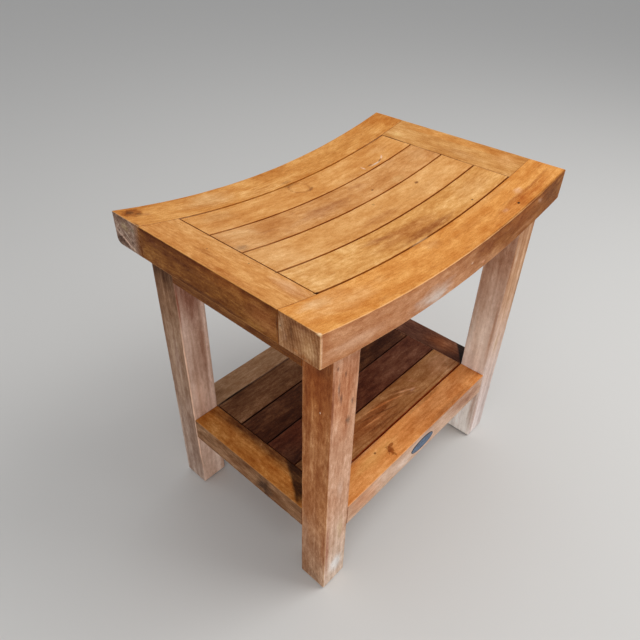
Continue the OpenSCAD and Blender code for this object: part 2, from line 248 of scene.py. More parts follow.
def ring_mesh(name: str, rings: Array) -> bpy.types.Mesh:
    """Makes a smooth, closed mesh from rings of points, with a face at each end.

    Args:
        name: Its name.
        rings: Array (ring, point, 3). Seen from the last ring's side, each ring runs
            counter-clockwise.

    Returns:
        The mesh, with its faces outwards.
    """
    count, size, _ = rings.shape
    index = np.arange(count * size).reshape(count, size)
    after = np.roll(index, -1, axis=1)
    quads = np.stack([index[:-1], after[:-1], after[1:], index[1:]], axis=-1).reshape(-1, 4)
    faces = [*quads.tolist(), index[0, ::-1].tolist(), index[-1].tolist()]
    mesh = bpy.data.meshes.new(name)
    mesh.from_pydata(rings.reshape(-1, 3).tolist(), [], faces)
    mesh.shade_smooth()
    mesh.update()
    return mesh


def add_attribute(mesh: bpy.types.Mesh, name: str, values: Array) -> None:
    """Stores one number or one vector per vertex.

    Args:
        mesh: The mesh.
        name: Name that the materials read.
        values: Array (vertex) or (vertex, 3).
    """
    vector = values.ndim == 2
    layer = mesh.attributes.new(name, "FLOAT_VECTOR" if vector else "FLOAT", "POINT")
    layer.data.foreach_set("vector" if vector else "value", values.astype(np.float32).ravel())


def add_object(name: str, data: bpy.types.ID) -> bpy.types.Object:
    """Makes an object and links it to the scene."""
    made = bpy.data.objects.new(name, data)
    bpy.context.scene.collection.objects.link(made)
    return made


def show(mesh: bpy.types.Mesh, node: str, slot: str, material: Material) -> None:
    """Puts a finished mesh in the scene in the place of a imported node.

    Args:
        mesh: The mesh.
        node: The node that it stands for.
        slot: The record's material slot.
        material: The finish.
    """
    mesh.materials.append(material)
    piece = add_object(f"{node}_finished", mesh)
    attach(piece, ROOT)
    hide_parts(node)
    LOG.info("%s: %d vertices, slot %s", piece.name, len(mesh.vertices), slot)


@dataclass(frozen=True)
class Knock:
    """A worn spot on an arris: its place along the board, its corner, and how deep and long it is."""

    place: float
    corner: int
    depth: float
    reach: float
    width: float = 3.0


@dataclass
class Board:
    """A squared piece of teak with eased arrises, knocked and worn a little by use.

    The section runs along the grain. At each end it draws in along a quarter circle and
    then closes in smaller and smaller rings.
    """

    node: str
    grain: Grain
    low: Array
    high: Array
    arris: float
    joined: tuple[Side, ...] = ()
    gapped: tuple[Side, ...] = ()
    warp: Warp | None = None
    pith: Point = (0.0, 0.05, 0.09)
    dents: int = 3
    seed: int = 1
    end_ease: tuple[float, float] = (1.0, 1.0)
    knocks: tuple[Knock, ...] = ()  # each adds its depth to the arris' radius

    SPACING = 3.5 * MM
    SUPPORT = 0.6 * MM
    HOLLOW = 0.12 * MM
    WAVE = 70 * MM
    EASE_WAVE = 60 * MM
    UNEVEN = 0.14
    DENT_DEPTH = (0.1 * MM, 0.35 * MM)
    DENT_REACH = (1.5 * MM, 6 * MM)
    DENT_WIDTH = 12.0
    MOST_WORN = 0.8
    END_RINGS = np.array([0.93, 0.7, 0.4, 0.16, 0.04])

    def radius_between(self, first: Side, second: Side) -> float:
        """Radius of the arris between two sides: small where either meets another piece."""
        return JOINT_ARRIS if {first, second} & set(self.joined) else self.arris

    def side(self, own_axis: int, sign: int) -> Side:
        """The side that faces one way along the board's own length, width or height."""
        return Side((self.grain.value[own_axis], sign))

    def stations(self, length: float) -> Array:
        """Places the rings along the board.

        Args:
            length: The board's length.

        Returns:
            Three rows: each ring's place along the board, how far it draws in, and its
            shrink. Over an end's ease e, place is e (1 - cos t) and inset e (1 - sin t).
        """
        flat = 0 * self.END_RINGS
        ends = []
        for sign in (-1, 1):
            ease = JOINT_ARRIS if self.side(0, sign) in self.joined else self.arris
            place, inset = ease * (1 - np.cos(QUARTER)), ease * (1 - np.sin(QUARTER))
            shrink = [*self.END_RINGS, *(0 * place)]
            ends.append(np.array([[*flat, *place], [*(flat + ease), *inset], shrink]))
        near, far = ends[0], ends[1][:, ::-1]
        far[0] = length - far[0]
        start, stop = near[0, -1] + self.SUPPORT, far[0, 0] - self.SUPPORT
        middle = np.linspace(start, stop, max(3, round((stop - start) / self.SPACING)))
        return np.concatenate([near, [middle, 0 * middle, 0 * middle], far], axis=1)

    def wear(self, along: Array, length: float, points: Array) -> Array:
        """Works out how far each point is worn inwards.

        Args:
            along: Place of each ring along the board.
            length: The board's length.
            points: Where the noise is read, as an array (ring, point, 3).

        Returns:
            A shallow ripple over the faces, plus small random dents on the arrises.
        """
        rng = np.random.default_rng(self.seed)
        dents = [
            Knock(
                rng.uniform(0.03, 0.97) * length, int(rng.integers(4)), rng.uniform(*self.DENT_DEPTH),
                rng.uniform(*self.DENT_REACH), self.DENT_WIDTH,
            )
            for _ in range(self.dents)
        ]
        waves = ripple(points, self.WAVE, self.seed + 1).clip(-1, 1)
        return self.HOLLOW * (0.5 + 0.5 * waves) + self.spread(dents, along)

    def spread(self, knocks: Iterable[Knock], along: Array) -> Array:
        """Adds up knocks over the board.

        Args:
            knocks: The knocks.
            along: Place of each ring along the board.

        Returns:
            Array (ring, point): the sum of depth * exp(-(distance / reach)^2) along the
            board, times the corner's weight to the power of the knock's width.
        """
        total = np.zeros((len(along), len(SECTION)))
        for knock in knocks:
            near = knock.depth * np.exp(-(((along - knock.place) / knock.reach) ** 2))
            total += near[:, None] * SECTION.weight[:, knock.corner] ** knock.width
        return total

    def shape(self) -> tuple[Array, Array, dict[str, Array]]:
        """Works out the surface and what the materials read from it.

        Returns:
            The rings in the bench's frame, the same in the board's own coordinates, and
            each attribute's values by name.
        """
        order = list(self.grain.value)
        length, width, height = (self.high - self.low)[order]
        along, inset, shrink = self.stations(length)
        halves = np.array([width, height]) / 2 - inset[:, None] * np.array(self.end_ease)
        corners = [
            self.radius_between(self.side(1, v), self.side(2, w))
            for v, w in ((1, 1), (-1, 1), (-1, -1), (1, -1))
        ]
        place = along[:, None, None] + np.zeros((1, len(SECTION), 3))
        place = place + np.concatenate([np.zeros((len(SECTION), 1)), SECTION.core], 1) * width
        easing = 1 + self.UNEVEN * ripple(along[:, None], self.EASE_WAVE, self.seed)
        radius = easing[:, None] * (SECTION.weight @ corners) + self.spread(self.knocks, along)
        radius = np.maximum(radius - inset[:, None], THINNEST_ARRIS)[..., None]
        worn = np.minimum(self.wear(along, length, place)[..., None], self.MOST_WORN * radius)
        across = SECTION.core * (halves[:, None] - radius) + SECTION.way * (radius - worn)
        across = across * (1 - shrink)[:, None, None]
        lengthways = np.broadcast_to((along - length / 2)[:, None, None], (*across.shape[:2], 1))
        own = np.concatenate([lengthways, across], axis=-1)
        rings = np.empty_like(own)
        rings[..., order] = own + ((self.low + self.high) / 2)[order]
        measured = self.distances(rings)
        return (self.warp(rings) if self.warp else rings), own, measured

    def distances(self, points: Array) -> dict[str, Array]:
        """Measures how far each point lies from the arrises and from the top.

        Args:
            points: Points in the board's flat box.

        Returns:
            Distance to the nearest free arris, to the nearest joint and to the top, by
            attribute. That to an arris is the larger of those to its two sides.
        """
        gap = {}
        for side in Side:
            axis, sign = side.value
            gap[side] = np.abs(points[..., axis] - (self.low if sign < 0 else self.high)[axis])
        nearest = {"arris": np.ones(points.shape[:2]), "joint": np.ones(points.shape[:2])}
        for pair in combinations(Side, 2):
            if pair[0].value[0] != pair[1].value[0]:
                kind = "joint" if {*pair} & {*self.joined, *self.gapped} else "arris"
                nearest[kind] = np.minimum(nearest[kind], np.maximum(gap[pair[0]], gap[pair[1]]))
        return {**nearest, "below": gap[Side.TOP]}

    def build(self, slot: str, finish: "Teak") -> None:
        """Makes the board and puts it in the scene.

        Args:
            slot: The record's material slot.
            finish: The board's finish.
        """
        rings, own, distances = self.shape()
        mesh = ring_mesh(self.node, rings)
        add_attribute(mesh, "board", (own + np.array(self.pith)).reshape(-1, 3))
        for name, values in distances.items():
            add_attribute(mesh, name, values.reshape(-1))
        show(mesh, self.node, slot, finish.material(self.node, self.grain))


# ---- Shader helpers ----


class Graph:
    """Adds and links shader nodes in one tree, so that a formula reads in order."""

    def __init__(self, tree: Tree) -> None:
        """Starts on the node tree of a material, a world or a group."""
        self.tree = tree

    def add(
        self, kind: str, inputs: dict[int | str, object] | None = None, **settings: object
    ) -> Node:
        """Adds one node.

        Args:
            kind: Its type, less the leading ShaderNode.
            inputs: Sockets to link and constants to set, by name or number.
            **settings: Its own properties.

        Returns:
            The node.
        """
        node = self.tree.nodes.new(f"ShaderNode{kind}")
        for name, value in settings.items():
            setattr(node, name, value)
        for name, value in (inputs or {}).items():
            if isinstance(value, Socket):
                self.tree.links.new(value, node.inputs[name])
            else:
                node.inputs[name].default_value = value.linear() if isinstance(value, Tone) else value
        return node

    def math(self, operation: str, *values: object) -> Socket:
        """A number worked out from one to three others."""
        return self.add("Math", dict(enumerate(values)), operation=operation).outputs[0]

    def vector(self, operation: str, *values: object) -> Socket:
        """A vector worked out from one or two others, or the length of one."""
        node = self.add("VectorMath", dict(enumerate(values)), operation=operation)
        return node.outputs["Value" if operation == "LENGTH" else "Vector"]

    def split(self, vector: Socket) -> list[Socket]:
        """The three coordinates of a vector."""
        return list(self.add("SeparateXYZ", {0: vector}).outputs)

    def rise(
        self, value: Socket, low: object, high: object, ends: tuple[float, float] = (0.0, 1.0)
    ) -> Socket:
        """Smooth step from 0 at low to 1 at high, or between other ends."""
        inputs = dict(enumerate((value, low, high, *ends)))
        return self.add("MapRange", inputs, interpolation_type="SMOOTHSTEP").outputs[0]

    def fall(self, value: Socket, low: object, high: object) -> Socket:
        """Smooth step from 1 at low to 0 at high."""
        return self.rise(value, low, high, (1.0, 0.0))

    def noise(self, vector: Socket, by: Point | None, detail: float, roughness: float) -> Socket:
        """Fractal noise from 0 to 1, with so many features per metre along each axis."""
        place = self.vector("MULTIPLY", vector, by) if by else vector
        inputs = {"Vector": place, "Scale": 1.0, "Detail": detail, "Roughness": roughness}
        return self.add("TexNoise", inputs).outputs[0]

    def mix(self, factor: object, first: object, second: object, blend: str = "MIX") -> Socket:
        """A colour between two others, or the second laid on the first by a blend type."""
        mixed = self.add("Mix", {0: factor, 6: first, 7: second}, data_type="RGBA", blend_type=blend)
        return mixed.outputs[2]

    def attribute(self, name: str, output: str = "Fac") -> Socket:
        """What the piece's mesh holds under a name."""
        return self.add("Attribute", attribute_name=name).outputs[output]

    def normal(self) -> list[Socket]:
        """The three coordinates of the surface's normal."""
        return self.split(self.add("NewGeometry").outputs["Normal"])

    def group(self, name: str, inputs: dict[str, object]) -> Node:
        """Adds one of the shared groups."""
        return self.add("Group", inputs, node_tree=GROUPS[name])

    def surface(self, inputs: dict[str, object]) -> None:
        """Ends a material in a surface with these inputs."""
        self.add("OutputMaterial", {"Surface": self.add("BsdfPrincipled", inputs).outputs[0]})


def new_group(name: str, inputs: dict[str, object]) -> tuple[Graph, dict[str, Socket]]:
    """Starts a shader node group.

    Args:
        name: Its name.
        inputs: Defaults by name. A tuple makes a vector input.

    Returns:
        A graph on its tree, and the sockets that its inputs give.
    """
    tree = bpy.data.node_groups.new(name, "ShaderNodeTree")
    for label, default in inputs.items():
        kind = "NodeSocketVector" if isinstance(default, tuple) else "NodeSocketFloat"
        tree.interface.new_socket(label, in_out="INPUT", socket_type=kind).default_value = default
    source = tree.nodes.new("NodeGroupInput")
    return Graph(tree), {label: source.outputs[label] for label in inputs}


def close_group(g: Graph, results: dict[str, Socket]) -> Tree:
    """Gives a group its outputs, all numbers, and then its tree back."""
    for label in results:
        g.tree.interface.new_socket(label, in_out="OUTPUT", socket_type="NodeSocketFloat")
    sink = g.tree.nodes.new("NodeGroupOutput")
    for label, socket in results.items():
        g.tree.links.new(socket, sink.inputs[label])
    return g.tree


def grain_group() -> Tree:
    """Builds the teak grain, as a depth of colour.

    A depth above 1 darkens and warms a tone, as denser or wetter wood does, and a depth
    below 1 bleaches it.

    Returns:
        The group. Its X axis is the pith. Depth is 1 plus shares of a broad mottle, of
        stripes, streaks, growth rings, fibres, speckle and pores. A ring's line lies where
        the distance to the wandering pith, over the ring width, is close below a whole
        number. Height is the relief for a bump.
    """
    g, given = new_group("teak grain", {
        "Vector": ORIGIN, "Ring Width": 3.4 * MM, "Wander": 9.0 * MM, "Mottle": 2.0, "Stripes": 0.0,
        "Streaks": 0.6, "Rings": 0.2, "Fibres": 0.5, "Speckle": 0.65,
    })
    vector = given["Vector"]
    spot = g.vector("MULTIPLY", vector, (5, 22, 22))
    drift = g.add("TexNoise", {"Vector": spot, "Scale": 1.0, "Detail": 2.0}).outputs["Color"]
    centred = g.vector("SUBTRACT", drift, (0.5, 0.5, 0.5))
    shift = g.add("VectorMath", {0: centred, "Scale": given["Wander"]}, operation="SCALE")
    moved = g.vector("ADD", vector, shift.outputs[0])
    reach = g.vector("LENGTH", g.vector("MULTIPLY", moved, (0, 1, 1)))
    phase = g.math("DIVIDE", reach, given["Ring Width"])
    within = g.math("FRACT", phase)
    line = g.math("MULTIPLY", g.rise(within, 0.35, 0.9), g.fall(within, 0.93, 1.0))
    ring = g.add("TexWhiteNoise", {"W": g.math("FLOOR", phase)}, noise_dimensions="1D")
    strength = g.math("MULTIPLY_ADD", ring.outputs["Value"], 0.8, 0.2)
    rings = g.math("MULTIPLY", line, strength)
    pores = g.rise(g.noise(vector, (110, 2400, 2400), 1.0, 0.5), 0.62, 0.72)
    depth, figure = 1.0, {}
    for share, where, by, detail, roughness in (
        ("Mottle", moved, (17, 38, 38), 6.0, 0.74),
        ("Stripes", moved, (4, 120, 120), 1.0, 0.5),
        ("Streaks", moved, (95, 300, 300), 3.0, 0.6),
        ("Fibres", vector, (520, 1000, 1000), 2.0, 0.7),
        ("Speckle", vector, (900, 900, 900), 2.0, 0.6),
    ):
        figure[share] = g.noise(where, by, detail, roughness)
        depth = g.math("MULTIPLY_ADD", g.math("SUBTRACT", figure[share], 0.5), given[share], depth)
    depth = g.math("MULTIPLY_ADD", rings, given["Rings"], depth)
    depth = g.math("MULTIPLY_ADD", pores, 0.35, depth)
    height = g.math("MULTIPLY_ADD", figure["Fibres"], 1.2, g.math("MULTIPLY", figure["Streaks"], -2.0))
    height = g.math("MULTIPLY_ADD", pores, -0.9, g.math("MULTIPLY_ADD", rings, -0.5, height))
    return close_group(g, {"Depth": depth, "Height": height})


def cloud_group() -> Tree:
    """Builds blotches with soft, ragged outlines.

    Returns:
        The group. Spread is the share that the blotches cover, from 0 to 1, and Size the
        blotches' size along each axis.
    """
    g, given = new_group("clouds", {"Vector": ORIGIN, "Size": (0.03, 0.03, 0.03), "Spread": 0.4})
    value = g.noise(g.vector("DIVIDE", given["Vector"], given["Size"]), None, 4.0, 0.6)
    start = g.math("SUBTRACT", 0.72, g.math("MULTIPLY", given["Spread"], 0.4))
    return close_group(g, {"Mask": g.rise(value, start, g.math("ADD", start, 0.16))})


def edge_group() -> Tree:
    """Builds a band along an arris or a joint, broken up by noise.

    Returns:
        The group. The mask is 1 on the line and falls to 0 at Width from it. Break is
        how much of the line the noise takes away.
    """
    g, given = new_group("edge band", {"Distance": 1.0, "Vector": ORIGIN, "Width": 1.0 * MM, "Break": 0.5})
    ragged = g.math("SUBTRACT", g.noise(given["Vector"], (90, 260, 260), 3.0, 0.6), 0.35)
    pull = g.math("MULTIPLY", ragged, g.math("MULTIPLY", given["Break"], 3.0))
    reach = g.math("DIVIDE", given["Distance"], given["Width"])
    return close_group(g, {"Mask": g.fall(g.math("ADD", reach, pull), 0.2, 1.0)})


def mark_group() -> Tree:
    """Builds one mark at a place: a knot, a stain, a scuff or a patch of painted shade.

    Returns:
        The group. The mark is a body of the given half Size about Centre, turned by Turn,
        with an outline that noise distorts: an ellipsoid, or a box where Square is 1.
        Hollow, from 0 to 1, leaves only the mark's rim.
    """
    g, given = new_group("mark", {
        "Vector": ORIGIN, "Centre": ORIGIN, "Size": (0.01, 0.01, 0.01), "Turn": ORIGIN,
        "Soft": 0.5, "Ragged": 0.5, "Square": 0.0, "Hollow": 0.0,
    })
    away = {"Vector": g.vector("SUBTRACT", given["Vector"], given["Centre"]), "Rotation": given["Turn"]}
    turned = g.add("VectorRotate", away, rotation_type="EULER_XYZ", invert=True)
    over = g.vector("DIVIDE", turned.outputs[0], given["Size"])
    round_reach = g.vector("LENGTH", over)
    x, y, z = g.split(g.vector("ABSOLUTE", over))
    box_reach = g.math("MAXIMUM", x, g.math("MAXIMUM", y, z))
    more = g.math("MULTIPLY", g.math("SUBTRACT", box_reach, round_reach), given["Square"])
    ragged = g.math("SUBTRACT", g.noise(over, (1.7, 1.7, 1.7), 4.0, 0.62), 0.5)
    shaken = g.math("MULTIPLY_ADD", ragged, given["Ragged"], g.math("ADD", round_reach, more))
    solid = g.fall(shaken, g.math("SUBTRACT", 1.0, given["Soft"]), 1.0)
    core = g.math("MULTIPLY", g.fall(shaken, 0.6, 0.9), given["Hollow"])
    return close_group(g, {"Mask": g.math("MAXIMUM", g.math("SUBTRACT", solid, core), 0.0)})


GROUPS = {"grain": grain_group(), "clouds": cloud_group(), "edge": edge_group(), "mark": mark_group()}


def new_material(name: str) -> tuple[Material, Graph]:
    """Makes an empty material and gives it back with a graph on its tree."""
    material = bpy.data.materials.new(name)
    material.use_nodes = True
    material.node_tree.nodes.clear()
    return material, Graph(material.node_tree)


# ---- Finishes ----


@dataclass(frozen=True)
class Mark:
    """One knot, stain, scuff or patch of painted shade: place and half size in the bench's frame, and tone.
    """

    at: Point
    size: Point
    tone: Tone
    strength: float
    ragged: float
    soft: float = 0.9
    turn: Point = ORIGIN
    square: float = 0.0
    hollow: float = 0.0


def marks(*rows: tuple[float, ...]) -> tuple[Mark, ...]:
    """Makes marks from rows of numbers.

    Args:
        *rows: For each mark its place and its half size in millimetres, its tone, strength
            and raggedness, and then, if need be, its softness, its turn about each axis in
            degrees, its squareness and its hollowness.

    Returns:
        The marks.
    """
    made = []
    for row in rows:
        place, size = (tuple(MM * value for value in row[start : start + 3]) for start in (0, 3))
        turn = (row[12:15],) if len(row) > 12 else ()
        made.append(Mark(place, size, Tone(*row[6:9]), *row[9:12], *turn, *row[15:]))
    return tuple(made)


LEFT_SEAM = marks(
    (-180, 0, 446, 1.3, 103, 20, 110, 54, 12, 0.7, 0.5, 0.6, 0, 0, 0, 1),
    (-179, -100.5, 446, 6, 1.6, 20, 50, 22, 6, 0.9, 0.6, 0.7),
    (-179, -50.7, 446, 6, 1.4, 20, 60, 28, 10, 0.85, 0.6, 0.7),
    (-179, 50.7, 446, 5, 1.4, 20, 60, 28, 10, 0.8, 0.6, 0.7),
)
FRONT_SEAM = marks(
    (-150, -101.4, 440, 30, 1.2, 20, 80, 40, 14, 0.8, 0.8, 0.7),
    (-10, -101.4, 430, 60, 1.2, 20, 84, 44, 16, 0.75, 0.8, 0.7),
    (120, -101.4, 430, 40, 1, 20, 110, 62, 24, 0.5, 0.8, 0.7),
    (-12, -100.6, 430, 22, 0.8, 20, 250, 206, 150, 0.8, 1.4, 0.6),
    (-115, -102.4, 430, 8, 0.8, 20, 250, 206, 150, 0.8, 1.4, 0.6),
)
CHIPS = marks(
    (-112, -50.8, 430, 12, 1.4, 20, 248, 206, 156, 0.7, 1.4, 0.6),
    (-20, -50.8, 430, 20, 1.2, 20, 246, 196, 138, 0.6, 1.6, 0.6),
)
RIGHT_SEAM = marks(
    (180, 80, 446, 1.4, 30, 20, 96, 50, 16, 0.9, 0.6, 0.7),
    (180, -70, 446, 3, 40, 20, 216, 152, 88, 0.5, 0.8),
)
SLATS_LEFT = marks((-155, 0, 440, 50, 120, 20, 230, 176, 116, 0.45, 0.9))
SHELF_SHADE = marks((-155, -50, 139, 50, 60, 4, 46, 24, 12, 0.7, 0.5))
SHELF_SEAMS = marks(
    (-130, 101.8, 139, 60, 2.6, 6, 30, 11, 3, 0.9, 0.4, 0.6),
    (-130, 50.8, 139, 70, 2.3, 6, 34, 11, 3, 0.9, 0.4, 0.6),
    (-130, 0, 139, 70, 2.3, 6, 34, 11, 3, 0.9, 0.4, 0.6),
    (130, 0, 139, 80, 1.8, 6, 44, 15, 4, 0.7, 0.4, 0.6),
)


@dataclass(frozen=True)
class Teak:
    """Teak in one state of wear, with a tone for each way that its faces look.

    The wood is honey-coloured where it was sanded and oiled, and pinkish or grey where
    water and soap have dried on it, most of all towards the feet. The tones of the faces
    that look different ways are partly the wood's own and partly painted light and shade,
    so some sides are darker or lighter than their light alone would make them. The grain's
    depth tells on a tone in two ways: as a power, with TINT of its change, and as a factor,
    DIM to the power of its change.
    """

    top: Tone = Tone(210, 150, 88)
    front: Tone = Tone(176, 126, 90)
    end: Tone = Tone(150, 100, 60)
    under: Tone | None = None
    foot_front: Tone | None = None
    foot_end: Tone | None = None
    foot_top: float = 0.19
    mottle: float = 1.8
    stripes: float = 0.0
    streaks: float = 0.6
    end_streaks: float = 0.2
    rings: float = 0.12
    ring_width: float = 3.4 * MM
    clouds: Tone = Tone(165, 108, 62)
    cloud_spread: float = 0.25
    cloud_strength: float = 0.35
    cloud_size: Point = (0.05, 0.02, 0.02)
    wear: Tone = Tone(240, 190, 128)
    wear_strength: float = 0.6
    wear_width: float = 1.6 * MM
    wear_zone: Mark | None = None
    dirt: Tone = Tone(150, 78, 16)
    dirt_width: float = 0.8 * MM
    dirt_strength: float = 0.65
    # shade and shade_width darken the upright faces towards the top: painted shade under the seat on the
    # legs, a thin darker band just under the top on the other boards.
    shade: float = 0.08
    shade_width: float = 7 * MM
    roughness: float = 0.55
    marks: tuple[Mark, ...] = ()

    SIDEWAYS = (0.55, 0.8)
    UPWARDS = (0.5, 0.8)
    DOWNWARDS = (-0.8, -0.5)
    UPRIGHT = (0.3, 0.6)
    END_ON = (0.7, 0.85)
    RAGGED_FOOT = 0.12
    BUMP = 0.45
    RELIEF = 0.25 * MM
    SHEEN = 0.12
    END_RINGS = 0.3
    TINT = 0.66
    DIM = 0.65

    def face_tone(self, g: Graph, grain: Grain, place: Socket) -> tuple[Socket, Socket]:
        """Picks the tone for the way that the surface faces, and for its height on a leg.

        Args:
            g: The material's graph.
            grain: The grain, whose axis' faces are end grain.
            place: Object coordinates.

        Returns:
            The colour, whose face tones are partly painted light and shade, and the mask of the end grain.
        """
        normal = g.normal()
        ways = [g.math("ABSOLUTE", part) for part in normal]
        sideways = g.rise(ways[0], *self.SIDEWAYS)
        colour = g.mix(sideways, self.front, self.end)
        if self.foot_front and self.foot_end:
            foot = g.mix(sideways, self.foot_front, self.foot_end)
            height = g.split(place)[2]
            ragged = g.math("SUBTRACT", g.noise(place, (70, 70, 12), 4.0, 0.65), 0.5)
            level = g.math("MULTIPLY_ADD", ragged, self.RAGGED_FOOT, height)
            colour = g.mix(g.fall(level, 0.0, self.foot_top), colour, foot)
        if self.under:
            colour = g.mix(g.fall(normal[2], *self.DOWNWARDS), colour, self.under)
        colour = g.mix(g.rise(normal[2], *self.UPWARDS), colour, self.top)
        return colour, g.rise(ways[grain.value[0]], *self.END_ON)

    def spot(self, g: Graph, mark: Mark, place: Socket) -> Socket:
        """Where one mark lies, from 0 to 1, as its group gives it."""
        return g.group("mark", {
            "Vector": place, "Centre": mark.at, "Size": mark.size, "Soft": mark.soft, "Ragged": mark.ragged,
            "Turn": tuple(map(math.radians, mark.turn)), "Hollow": mark.hollow, "Square": mark.square,
        }).outputs[0]

    def stains_and_painted_shade(self, g: Graph, colour: Socket, place: Socket, vector: Socket) -> Socket:
        """Lays the clouds and the marks on a colour.

        Args:
            g: The material's graph.
            colour: The plain tone.
            place: Object coordinates, for the marks.
            vector: Grain coordinates, for the clouds.

        Returns:
            The colour with its stains and its painted shade.
        """
        blots = g.group("clouds", {"Vector": vector, "Size": self.cloud_size, "Spread": self.cloud_spread})
        colour = g.mix(g.math("MULTIPLY", blots.outputs[0], self.cloud_strength), colour, self.clouds)
        for mark in self.marks:
            colour = g.mix(g.math("MULTIPLY", self.spot(g, mark, place), mark.strength), colour, mark.tone)
        return colour

    def edged(
        self, g: Graph, colour: Socket, place: Socket, vector: Socket, end_grain: Socket
    ) -> Socket:
        """Pales the worn arrises, least of all on end grain, and darkens the joints.

        Args:
            g: The material's graph.
            colour: The stained tone.
            place: Object coordinates, for the worn zone.
            vector: Grain coordinates.
            end_grain: Mask of the end grain.

        Returns:
            The colour with both bands.
        """
        worn = g.math("MULTIPLY_ADD", end_grain, -0.8 * self.wear_strength, self.wear_strength)
        if self.wear_zone:
            worn = g.math("MULTIPLY", worn, self.spot(g, self.wear_zone, place))
        for label, width, gaps, tone, strength in (
            ("arris", self.wear_width, 0.3, self.wear, worn),
            ("joint", self.dirt_width, 0.35, self.dirt, self.dirt_strength),
        ):
            band = g.group("edge", {
                "Distance": g.attribute(label), "Vector": vector, "Width": width, "Break": gaps,
            })
            colour = g.mix(g.math("MULTIPLY", band.outputs[0], strength), colour, tone)
        return colour

    def shaded(self, g: Graph, depth: Socket, vector: Socket) -> Socket:
        """Deepens the colour of the upright faces towards the board's top.

        Args:
            g: The material's graph.
            depth: The grain's depth.
            vector: Grain coordinates, to break the band up.

        Returns:
            The depth with the band added: painted shade under the seat on the legs, a thin darker band just
                under the top on the other boards.
        """
        upright = g.fall(g.math("ABSOLUTE", g.normal()[2]), *self.UPRIGHT)
        ragged = g.math("SUBTRACT", g.noise(vector, (40, 200, 200), 3.0, 0.6), 0.5)
        reach = g.math("DIVIDE", g.attribute("below"), self.shade_width)
        band = g.fall(g.math("MULTIPLY_ADD", ragged, 0.6, reach), 0.0, 1.0)
        return g.math("MULTIPLY_ADD", g.math("MULTIPLY", band, upright), self.shade, depth)

    def material(self, name: str, grain: Grain, on_board: bool = True) -> Material:
        """Builds the material.

        Args:
            name: Its name.
            grain: The axis that the grain follows.
            on_board: Whether the piece is a Board, which holds its own coordinates. A
                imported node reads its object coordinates, turned to its grain.

        Returns:
            The material.
        """
        material, g = new_material(name)
        place = g.add("TexCoord").outputs["Object"]
        if on_board:
            vector = g.attribute("board", "Vector")
        else:
            turned = {"Vector": place, "Rotation": TURN_TO_GRAIN[grain], "Location": (0.3, 0.07, 0.09)}
            vector = g.add("Mapping", turned).outputs[0]
        colour, end_grain = self.face_tone(g, grain, place)
        colour = self.stains_and_painted_shade(g, colour, place, vector)
        wood = g.group("grain", {
            "Vector": vector, "Ring Width": self.ring_width, "Mottle": self.mottle, "Stripes": self.stripes,
            "Rings": g.math("MULTIPLY_ADD", end_grain, self.END_RINGS, self.rings),
            "Streaks": g.math("MULTIPLY_ADD", end_grain, self.end_streaks * self.streaks, self.streaks),
        })
        depth = wood.outputs["Depth"]
        if on_board:
            depth = self.shaded(g, depth, vector)
        power = g.math("MULTIPLY_ADD", depth, self.TINT, 1 - self.TINT)
        dim = g.math("POWER", self.DIM, g.math("SUBTRACT", depth, 1.0))
        colour = g.add("Gamma", {"Color": colour, "Gamma": power}).outputs[0]
        colour = g.mix(1.0, colour, dim, blend="MULTIPLY")
        if on_board:
            colour = self.edged(g, colour, place, vector, end_grain)
        rough = g.math("MULTIPLY_ADD", depth, 0.25, self.roughness - 0.25)
        relief = {"Height": wood.outputs["Height"], "Strength": self.BUMP, "Distance": self.RELIEF}
        bump = g.add("Bump", relief).outputs[0]
        look = {"Base Color": colour, "Roughness": rough, "Specular IOR Level": self.SHEEN}
        g.surface({**look, "Normal": bump})
        return material


@dataclass(frozen=True)
class Plain:
    """A finish of one tone with fine speckle and a light relief: rubber, steel or enamel."""

    tone: Tone
    speckle: Tone
    roughness: float
    metallic: float = 0.0
    grit: float = 0.6 * MM
    relief: float = 0.05 * MM
    rim: Tone | None = None

    def material(self, name: str) -> Material:
        """Builds the material. With a rim tone, the mesh's rim attribute shows where it lies."""
        material, g = new_material(name)
        place = g.add("TexCoord").outputs["Object"]
        fine = g.noise(place, (1 / self.grit,) * 3, 3.0, 0.6)
        broad = g.noise(place, (120, 120, 120), 3.0, 0.5)
        colour = g.mix(g.rise(fine, 0.35, 0.75), self.tone, self.speckle)
        colour = g.mix(g.math("MULTIPLY", g.rise(broad, 0.4, 0.65), 0.5), colour, self.speckle)
        metal = self.metallic
        if self.rim:
            edge = g.attribute("rim")
            colour = g.mix(edge, colour, self.rim)
            metal = g.math("MULTIPLY", edge, 0.4)
        rough = g.math("MULTIPLY_ADD", broad, 0.2, self.roughness - 0.1)
        bump = g.add("Bump", {"Height": fine, "Strength": 0.4, "Distance": self.relief}).outputs[0]
        g.surface({"Base Color": colour, "Roughness": rough, "Metallic": metal, "Normal": bump})
        return material


# ---- Sub-assemblies ----


def corners_of(node: str, axis: int | None = None, half: float = 0.0) -> tuple[Array, Array]:
    """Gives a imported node's box.

    Args:
        node: Its name.
        axis: The axis along which only its middle part shows, if there is one.
        half: Half the length of that part.

    Returns:
        The lowest and the highest corner.
    """
    low, high = map(np.array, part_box(node))
    if axis is not None:
        low[axis], high[axis] = -half, half
    return low, high


def dress(slot: str, material: Material, *nodes: str) -> None:
    """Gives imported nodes, whose shape stays, a finish.

    Args:
        slot: The record's material slot.
        material: The finish.
        *nodes: Names of the nodes.
    """
    for node in nodes:
        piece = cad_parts[node]
        piece.data.materials.clear()
        piece.data.materials.append(material)
        LOG.info("%s: packed shape kept, slot %s", node, slot)


